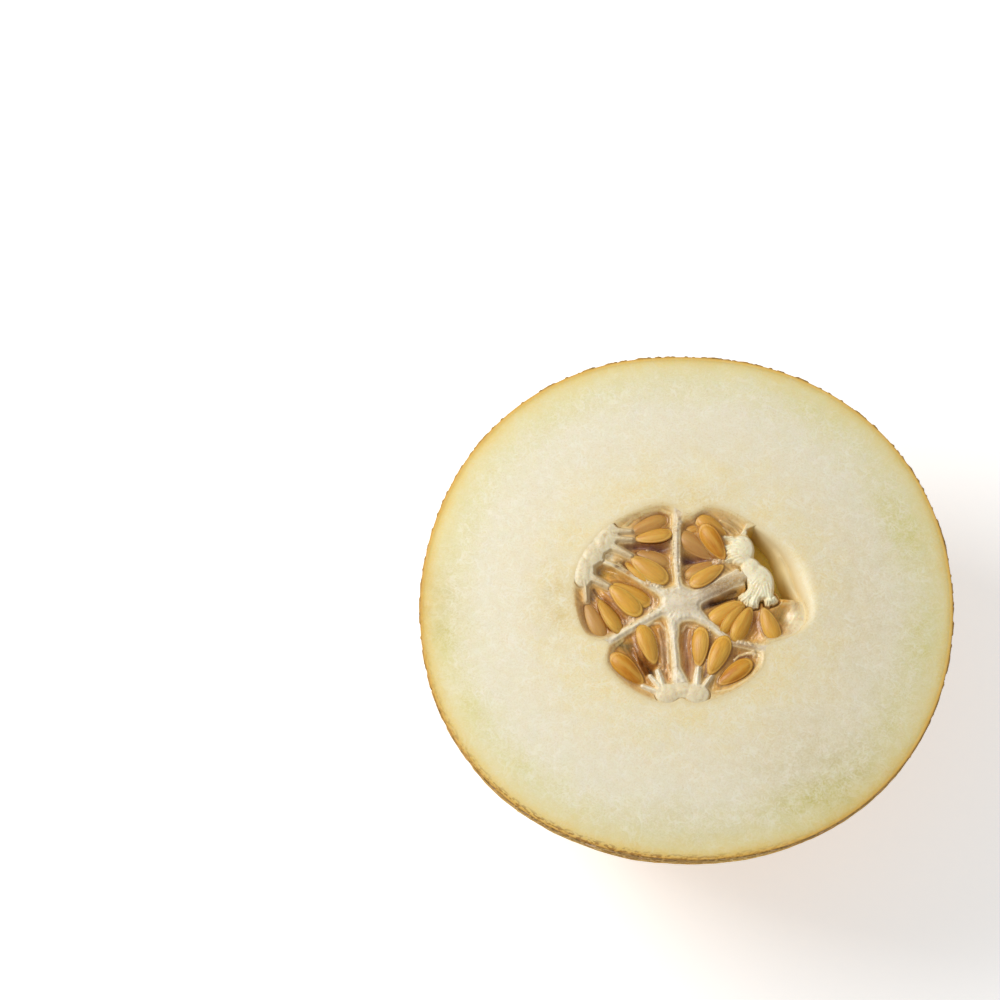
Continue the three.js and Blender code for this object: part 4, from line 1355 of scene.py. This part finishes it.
def makeSoftInsides():
    grid = layOutGrid()
    overlap, intoFlesh = cavity["overlap"], -grid["flesh"] - cavity["intoFlesh"]
    offWeb, offPads = -grid["web"] - overlap, -grid["pad"] - overlap
    finishes = {key: softMaterial(*values) for key, values in softFinish["kinds"].items()}
    height, colour = shapePulp(grid)
    relief = shapeWeb(grid, (height, colour))
    webEnd = -grid["flesh"] - cavity["webIntoFlesh"]
    outside = np.maximum.reduce([grid["web"], webEnd, offPads, -grid["pocket"]])
    addPiece(reliefPiece("star_web", grid, outside, relief, finishes["web"]), "web", "web")
    for name in placentas:
        outside = np.maximum(grid["pads"][name], intoFlesh)
        piece = reliefPiece(f"pad_{name}", grid, outside, shapePad(grid, name), finishes["pad"])
        addPiece(piece, "placenta", f"placenta_{name}")
    height = height - cavity["underWeb"] * (grid["web"] < cavity["webEdge"])
    for name, chamber in grid["chambers"].items():
        outside = np.maximum.reduce([offWeb, offPads, intoFlesh, chamber - overlap])
        piece = reliefPiece(f"pulp_{name}", grid, outside, (height, colour), finishes["gel"])
        addPiece(piece, "seed_bed", f"seed_bed_{name}")


makeSoftInsides()
print("web, pads and pulp made")


def seedMesh():
    # one seed, one long, its point towards +X: rings from the middle out to its margin and back below
    turn = np.arange(seeds["sides"]) * 2 * math.pi / seeds["sides"]
    outlineX, outlineY = 0.5 * np.cos(turn), seedOutline(np.cos(turn)) * np.sign(np.sin(turn))
    shares = np.sin(np.linspace(0, math.pi / 2, seeds["ringsAbove"] + 1)[1:]) ** 0.9
    thick = seeds["thickness"] / 2

    def swelling(share):
        dome = np.clip(1 - (share / 0.93) ** 2.2, 0, None) ** 0.66
        bead = 0.24 * np.sqrt(np.clip(1 - ((share - 0.89) / 0.11) ** 2, 0, None))
        return np.maximum(dome, bead)

    rings, margins = [], []
    for side in (1, -1):
        for share in shares if side > 0 else shares[-2::-1]:
            height = side * thick * swelling(share) * (1 - 0.5 * outlineX * share)
            height *= share < 0.9999  # both sides meet at the margin
            rings.append(np.stack([outlineX * share, outlineY * share, height], 1))
            margins.append(np.full(seeds["sides"], share))
    return rings, margins, (0, 0, thick), (0, 0, -thick)


def seedMaterial():
    material, tree = newMaterial("seedCoat")
    along, tone = attribute(tree, "along"), attribute(tree, "tone")
    place = joined(tree, along, times(tree, attribute(tree, "across"), 6.0), tone)
    streaks, blotches = joinedNoise(tree, place, 5.0, 3.0), joinedNoise(tree, place, 1.6, 2.0)
    base = ramp(tree, spread(tree, along, -0.5, 0.5), seeds["lengthColours"])
    base = overlaid(tree, base, seeds, (
        (streaks, 0.42, 0.68, 0.0, 0.5, "streakColour"),
        (blotches, 0.42, 0.66, 0.0, 0.6, "blotchColour"),
        (tone, -0.6, 1.0, 0.0, 0.55, "palerColour"),
        (tone, -1.0, 0.0, 0.4, 0.0, "darkerColour"),
    ))
    # the last of these, the dark outline at each seed's edge, is a painted contact shadow
    for at, reach, strength, stain in seeds["margins"]:
        away = awayFrom(tree, attribute(tree, "margin"), at)
        base = blendColour(tree, spread(tree, away, 0.0, reach, strength, 0.0), base, stain)
    base = blendColour(tree, times(tree, attribute(tree, "under"), 0.9), base, seeds["underGelColour"])
    finishMaterial(tree, {
        "Base Color": base,
        "Roughness": spread(tree, blotches, 0.35, 0.65, 0.36, 0.52),
        "Normal": bump(tree, streaks, 0.5, 0.2),
        "Subsurface Weight": 0.22,
        "Subsurface Radius": (1.0, 0.55, 0.15),
        "Subsurface Scale": 1.2 * mm,
        "Specular IOR Level": 0.45,
        "Coat Weight": 0.12,
        "Coat Roughness": 0.25,
    })
    return material


def newNodeGroup(name, inputs):  # inputs: name and kind of socket
    group = bpy.data.node_groups.new(name, "GeometryNodeTree")
    for key, kind in {"Geometry": "NodeSocketGeometry", **inputs}.items():
        group.interface.new_socket(key, in_out="INPUT", socket_type=kind)
    group.interface.new_socket("Geometry", in_out="OUTPUT", socket_type="NodeSocketGeometry")
    return group, group.nodes.new("NodeGroupInput").outputs


def endNodeGroup(group, geometry, material):
    real = put(group, "GeometryNodeRealizeInstances", inputs={0: geometry})
    painted = put(group, "GeometryNodeSetMaterial", inputs={0: real.outputs[0], "Material": material})
    leave = group.nodes.new("NodeGroupOutput")
    group.links.new(painted.outputs[0], leave.inputs[0])


def runNodeGroup(target, group, values):  # the result as a plain mesh object; the target goes
    modifier = target.modifiers.new("shape", "NODES")
    modifier.node_group = group
    for item in group.interface.items_tree:
        if item.in_out == "INPUT" and item.name in values:
            modifier[item.identifier] = values[item.name]
    bpy.context.view_layer.update()
    graph = bpy.context.evaluated_depsgraph_get()
    mesh = bpy.data.meshes.new_from_object(target.evaluated_get(graph), depsgraph=graph)
    target.modifiers.remove(modifier)
    name = target.name
    bpy.data.objects.remove(target)
    made = bpy.data.objects.new(name, mesh)
    bpy.context.scene.collection.objects.link(made)
    return made


def namedValue(group, name, kind="FLOAT"):
    return put(group, "GeometryNodeInputNamedAttribute", {"data_type": kind}, {"Name": name}).outputs[0]


def oneSeed(material):
    rings, margins, startPole, endPole = seedMesh()

    def attributes(points):
        along, across, _ = points.T
        return {"margin": np.concatenate([*margins, [0.0, 0.0]]), "along": along, "across": across}

    made = turnedMesh("seedForm", rings, startPole, endPole, material, attributes)
    made.data.transform(Matrix.Scale(1 / mm, 4))
    return made


def seedPoints():  # one for each seed, with its angles, its size and its colouring
    draw = np.random.default_rng(7)
    mesh = bpy.data.meshes.new("seeds")
    places, angles, sizes, unders, tones = [], [], [], [], []
    for x, y, length, turn, depth, roll, under, tone in allSeeds():
        places.append((x * mm, y * mm, (melon["cutHeight"] - depth) * mm))
        tilt = draw.uniform(-seeds["tilt"], seeds["tilt"])
        angles.append((math.radians(roll), math.radians(tilt), math.radians(turn)))
        sizes.append(length * seeds["swell"] * mm)
        unders.append(under)
        tones.append(tone)
    mesh.from_pydata(places, [], [])
    mesh.attributes.new("angles", "FLOAT_VECTOR", "POINT").data.foreach_set("vector", np.ravel(angles))
    for key, values in (("size", sizes), ("under", unders), ("tone", tones)):
        mesh.attributes.new(key, "FLOAT", "POINT").data.foreach_set("value", values)
    made = bpy.data.objects.new("seeds", mesh)
    bpy.context.scene.collection.objects.link(made)
    return made


def makeSeeds():
    material = seedMaterial()
    form = oneSeed(material)
    group, entry = newNodeGroup("seedsOnPoints", {"Seed": "NodeSocketObject"})
    info = put(group, "GeometryNodeObjectInfo", {"transform_space": "ORIGINAL"}, {"Object": entry["Seed"]})
    angles = namedValue(group, "angles", "FLOAT_VECTOR")
    turned = put(group, "FunctionNodeEulerToRotation", inputs={0: angles})
    placed = put(group, "GeometryNodeInstanceOnPoints", inputs={
        "Points": entry["Geometry"], "Instance": info.outputs["Geometry"],
        "Rotation": turned.outputs[0], "Scale": namedValue(group, "size"),
    })
    endNodeGroup(group, placed.outputs[0], material)
    made = runNodeGroup(seedPoints(), group, {"Seed": form})
    bpy.data.objects.remove(form)
    made.data.shade_smooth()
    addPiece(made, "seed", *[f"seed_bed_{name}" for name in seeds["kinds"]])


makeSeeds()
print("seeds made")

# The netting: corky ridges over the skin, drawn along the edges of cells
netting = {
    "baseTop": 86.0,  # the skin under it is drawn on past the cut up to here
    "baseSides": 180,
    "baseRings": (6, 60),  # above and below the cut
    "keptTop": 81.0,  # no cells above this
    "underCut": 0.03,  # its cut ends lie this deep
    "squash": 1.35,  # how much wider than high the cells are
    "layers": {  # drops: points tried for on a square millimetre, before the spacing thins them
        "netting": {
            "spacing": 1.9, "drops": 0.095, "broken": 0.13, "width": 0.5, "lift": 0.3, "step": 1.3,
            "seed": 3,
        },
        "twigs": {
            "spacing": 1.8, "drops": 0.13, "broken": 0.72, "width": 0.42, "lift": 0.24, "step": 1.0,
            "seed": 8,
        },
    },
    "wander": 0.42,  # about this far either way
    "wanderCell": 2.2,
    "unevenCell": 3.0,
    "sectionSides": 5,
    "corkColours": [(0.35, (210, 164, 84)), (0.5, (222, 178, 96)), (0.68, (232, 194, 112))],
    "fineColour": (242, 208, 136),
    "darkColour": (166, 114, 48),
    "nearCutColour": (168, 138, 96),
    "flankColour": (168, 112, 30),
}


def netBase(name, material):
    # the skin as an open sheet that runs on above the cut
    sides, (above, below) = netting["baseSides"], netting["baseRings"]
    angle = np.arange(sides) * 2 * math.pi / sides
    upper = np.linspace(netting["baseTop"], melon["cutHeight"], above)[:-1]
    rings = []
    for height in (*upper, *skinHeights(below)):
        radius = skinRadius(angle, height)
        low = np.full(sides, max(height, rind["restLift"]))
        rings.append(np.stack([radius * np.cos(angle), radius * np.sin(angle), low], 1))
    points = np.concatenate([*rings, [(0, 0, rind["restLift"])]])
    faces = []
    for level in range(len(rings) - 1):
        high, low = level * sides, (level + 1) * sides
        for j in range(sides):
            k = (j + 1) % sides
            faces.append((low + j, low + k, high + k, high + j))
    last = (len(rings) - 1) * sides
    for j in range(sides):
        faces.append((len(points) - 1, last + (j + 1) % sides, last + j))
    return meshObject(name, points, faces, material)


def corkMaterial():
    material, tree = newMaterial("corkyNet")
    where = objectPlace(tree)
    fine, dark = noise(tree, where, 0.7, 4.0, 0.6), noise(tree, where, 0.35, 3.0)
    level = put(tree, "ShaderNodeSeparateXYZ", inputs={0: where}).outputs["Z"]
    cut = melon["cutHeight"]
    colour = ramp(tree, noise(tree, where, 16.0), netting["corkColours"])
    colour = overlaid(tree, colour, netting, (
        (fine, 0.45, 0.7, 0.0, 0.5, "fineColour"),
        (dark, 0.55, 0.75, 0.0, 0.5, "darkColour"),
        (level, (cut - 3.6) * mm, (cut - 0.6) * mm, 0.0, 0.5, "nearCutColour"),
        (attribute(tree, "crest"), 0.0, 0.6, 0.65, 0.0, "flankColour"),
    ))
    finishMaterial(tree, {
        "Base Color": colour,
        "Roughness": spread(tree, fine, 0.3, 0.7, 0.7, 0.86),
        "Normal": bump(tree, mixedHeight(tree, fine, 1.0, dark, 0.5), 0.7, 0.2),
        "Specular IOR Level": 0.3,
        "Subsurface Weight": 0.06,
        "Subsurface Radius": (1.0, 0.7, 0.35),
        "Subsurface Scale": 0.5 * mm,
    })
    return material


def shift(tree, operation, *values):  # a sum with vectors; SCALE takes a number second
    made = put(tree, "ShaderNodeVectorMath", {"operation": operation})
    sockets = (made.inputs[0], made.inputs["Scale"]) if operation == "SCALE" else made.inputs
    for socket, value in zip(sockets, values):
        feed(tree, socket, value)
    return made.outputs[0]


def moved(group, geometry, **inputs):
    named = {key.capitalize(): value for key, value in inputs.items()}
    return put(group, "GeometryNodeSetPosition", inputs={"Geometry": geometry, **named}).outputs[0]


def scaled(group, geometry, factors):
    return put(group, "GeometryNodeTransform", inputs={"Geometry": geometry, "Scale": factors}).outputs[0]


def stored(group, geometry, name, value):  # the geometry with the value kept on its points
    settings = {"data_type": "FLOAT", "domain": "POINT"}
    inputs = {"Geometry": geometry, "Name": name, "Value": value}
    return put(group, "GeometryNodeStoreNamedAttribute", settings, inputs).outputs[0]


def nettingNodes(material):
    numbers = ("Spacing", "Drops", "Broken", "Width", "Lift", "Step")
    group, entry = newNodeGroup("nettingOnSkin", {
        **{key: "NodeSocketFloat" for key in numbers}, "Seed": "NodeSocketInt",
    })
    skin, squash = entry["Geometry"], netting["squash"]
    middle = (0.0, 0.0, melon["widestHeight"] * mm)
    drops = put(group, "GeometryNodeDistributePointsOnFaces", {"distribute_method": "POISSON"}, {
        "Mesh": scaled(group, skin, (1, 1, squash)), "Distance Min": entry["Spacing"],
        "Density Max": entry["Drops"], "Seed": entry["Seed"],
    })
    low = scaled(group, drops.outputs[0], (1, 1, 1 / squash))
    place = put(group, "GeometryNodeInputPosition").outputs[0]
    outward = shift(group, "NORMALIZE", shift(group, "SUBTRACT", place, middle))
    onBall = shift(group, "ADD", shift(group, "SCALE", outward, melon["faceRadius"] * mm), middle)
    hull = put(group, "GeometryNodeConvexHull", inputs={0: moved(group, low, position=onBall)})
    cells = put(group, "GeometryNodeDualMesh", inputs={0: hull.outputs[0]})
    split = put(group, "ShaderNodeSeparateXYZ", inputs={0: place}).outputs
    above = calc(group, "GREATER_THAN", split["Z"], netting["keptTop"] * mm)
    chance = put(group, "FunctionNodeRandomValue", {"data_type": "FLOAT"}, {"Seed": entry["Seed"]})
    broken = calc(group, "LESS_THAN", chance.outputs["Value"], entry["Broken"])
    net = put(group, "GeometryNodeDeleteGeometry", {"domain": "EDGE", "mode": "EDGE_FACE"}, {
        "Geometry": cells.outputs[0], "Selection": calc(group, "MAXIMUM", above, broken),
    })
    joins = put(group, "GeometryNodeInputMeshVertexNeighbors").outputs["Vertex Count"]
    lines = put(group, "GeometryNodeMeshToCurve", inputs={0: stored(group, net.outputs[0], "joins", joins)})
    fine = put(group, "GeometryNodeResampleCurve", {"mode": "LENGTH"}, {
        "Curve": lines.outputs[0], "Length": entry["Step"],
    })
    wobble = put(group, "ShaderNodeTexNoise", inputs={
        "Scale": 1 / (netting["wanderCell"] * mm), "Detail": 2.0,
    })
    offset = shift(group, "SUBTRACT", wobble.outputs["Color"], (0.5, 0.5, 0.5))
    # the noise stays mostly within a quarter of its middle
    offset = shift(group, "SCALE", offset, netting["wander"] * 4 * mm)
    nearest = put(group, "GeometryNodeProximity", {"target_element": "FACES"}, {"Geometry": skin})
    laid = moved(group, moved(group, fine.outputs[0], offset=offset), position=nearest.outputs[0])
    facing = put(group, "GeometryNodeSampleNearestSurface", {"data_type": "FLOAT_VECTOR"}, {
        "Mesh": skin, "Value": put(group, "GeometryNodeInputNormal").outputs[0],
    })
    upright = put(group, "GeometryNodeSetCurveNormal", {"mode": "FREE"}, {
        "Curve": laid, "Normal": facing.outputs[0],
    })
    section = put(group, "GeometryNodeCurvePrimitiveCircle", {"mode": "RADIUS"}, {
        "Resolution": netting["sectionSides"], "Radius": entry["Width"],
    })
    flatness = calc(group, "DIVIDE", entry["Lift"], entry["Width"])
    flat = scaled(group, section.outputs[0], joined(group, flatness, 1.0, 1.0))
    crest = calc(group, "DIVIDE", split["X"], entry["Lift"])
    uneven = put(group, "ShaderNodeTexNoise", inputs={
        "Scale": 1 / (netting["unevenCell"] * mm), "Detail": 1.0,
    })
    thinEnds = spread(group, namedValue(group, "joins"), 1.0, 1.9, 0.7, 1.0)
    ridges = put(group, "GeometryNodeCurveToMesh", inputs={
        "Curve": upright.outputs[0], "Profile Curve": stored(group, flat, "crest", crest),
        "Scale": times(group, thinEnds, spread(group, uneven.outputs[0], 0.3, 0.7, 0.75, 1.25)),
        "Fill Caps": True,
    })
    rounded = put(group, "GeometryNodeSetShadeSmooth", inputs={"Geometry": ridges.outputs[0]})
    endNodeGroup(group, rounded.outputs[0], material)
    return group


def trimNetting(mesh):  # nothing above the cut or under the rest, and the cut ends closed
    work = bmesh.new()
    work.from_mesh(mesh)
    cut = (melon["cutHeight"] - netting["underCut"]) * mm
    everything = [*work.verts, *work.edges, *work.faces]
    bmesh.ops.bisect_plane(work, geom=everything, plane_co=(0, 0, cut), plane_no=(0, 0, 1), clear_outer=True)
    openEdges = [edge for edge in work.edges if edge.is_boundary]
    bmesh.ops.holes_fill(work, edges=openEdges, sides=0)
    for vertex in work.verts:
        vertex.co.z = max(vertex.co.z, 0.0)
    work.to_mesh(mesh)
    work.free()


def makeNetting():
    material = corkMaterial()
    group = nettingNodes(material)
    for name, layer in netting["layers"].items():
        values = {key.capitalize(): layer[key] * mm for key in ("spacing", "width", "lift", "step")}
        values |= {"Drops": layer["drops"] / mm**2, "Broken": layer["broken"], "Seed": layer["seed"]}
        piece = runNodeGroup(netBase(name, material), group, values)
        trimNetting(piece.data)
        print(name, "triangles:", sum(len(face.vertices) - 2 for face in piece.data.polygons))
        addPiece(piece, "rind", "flesh")


makeNetting()
print("netting made")
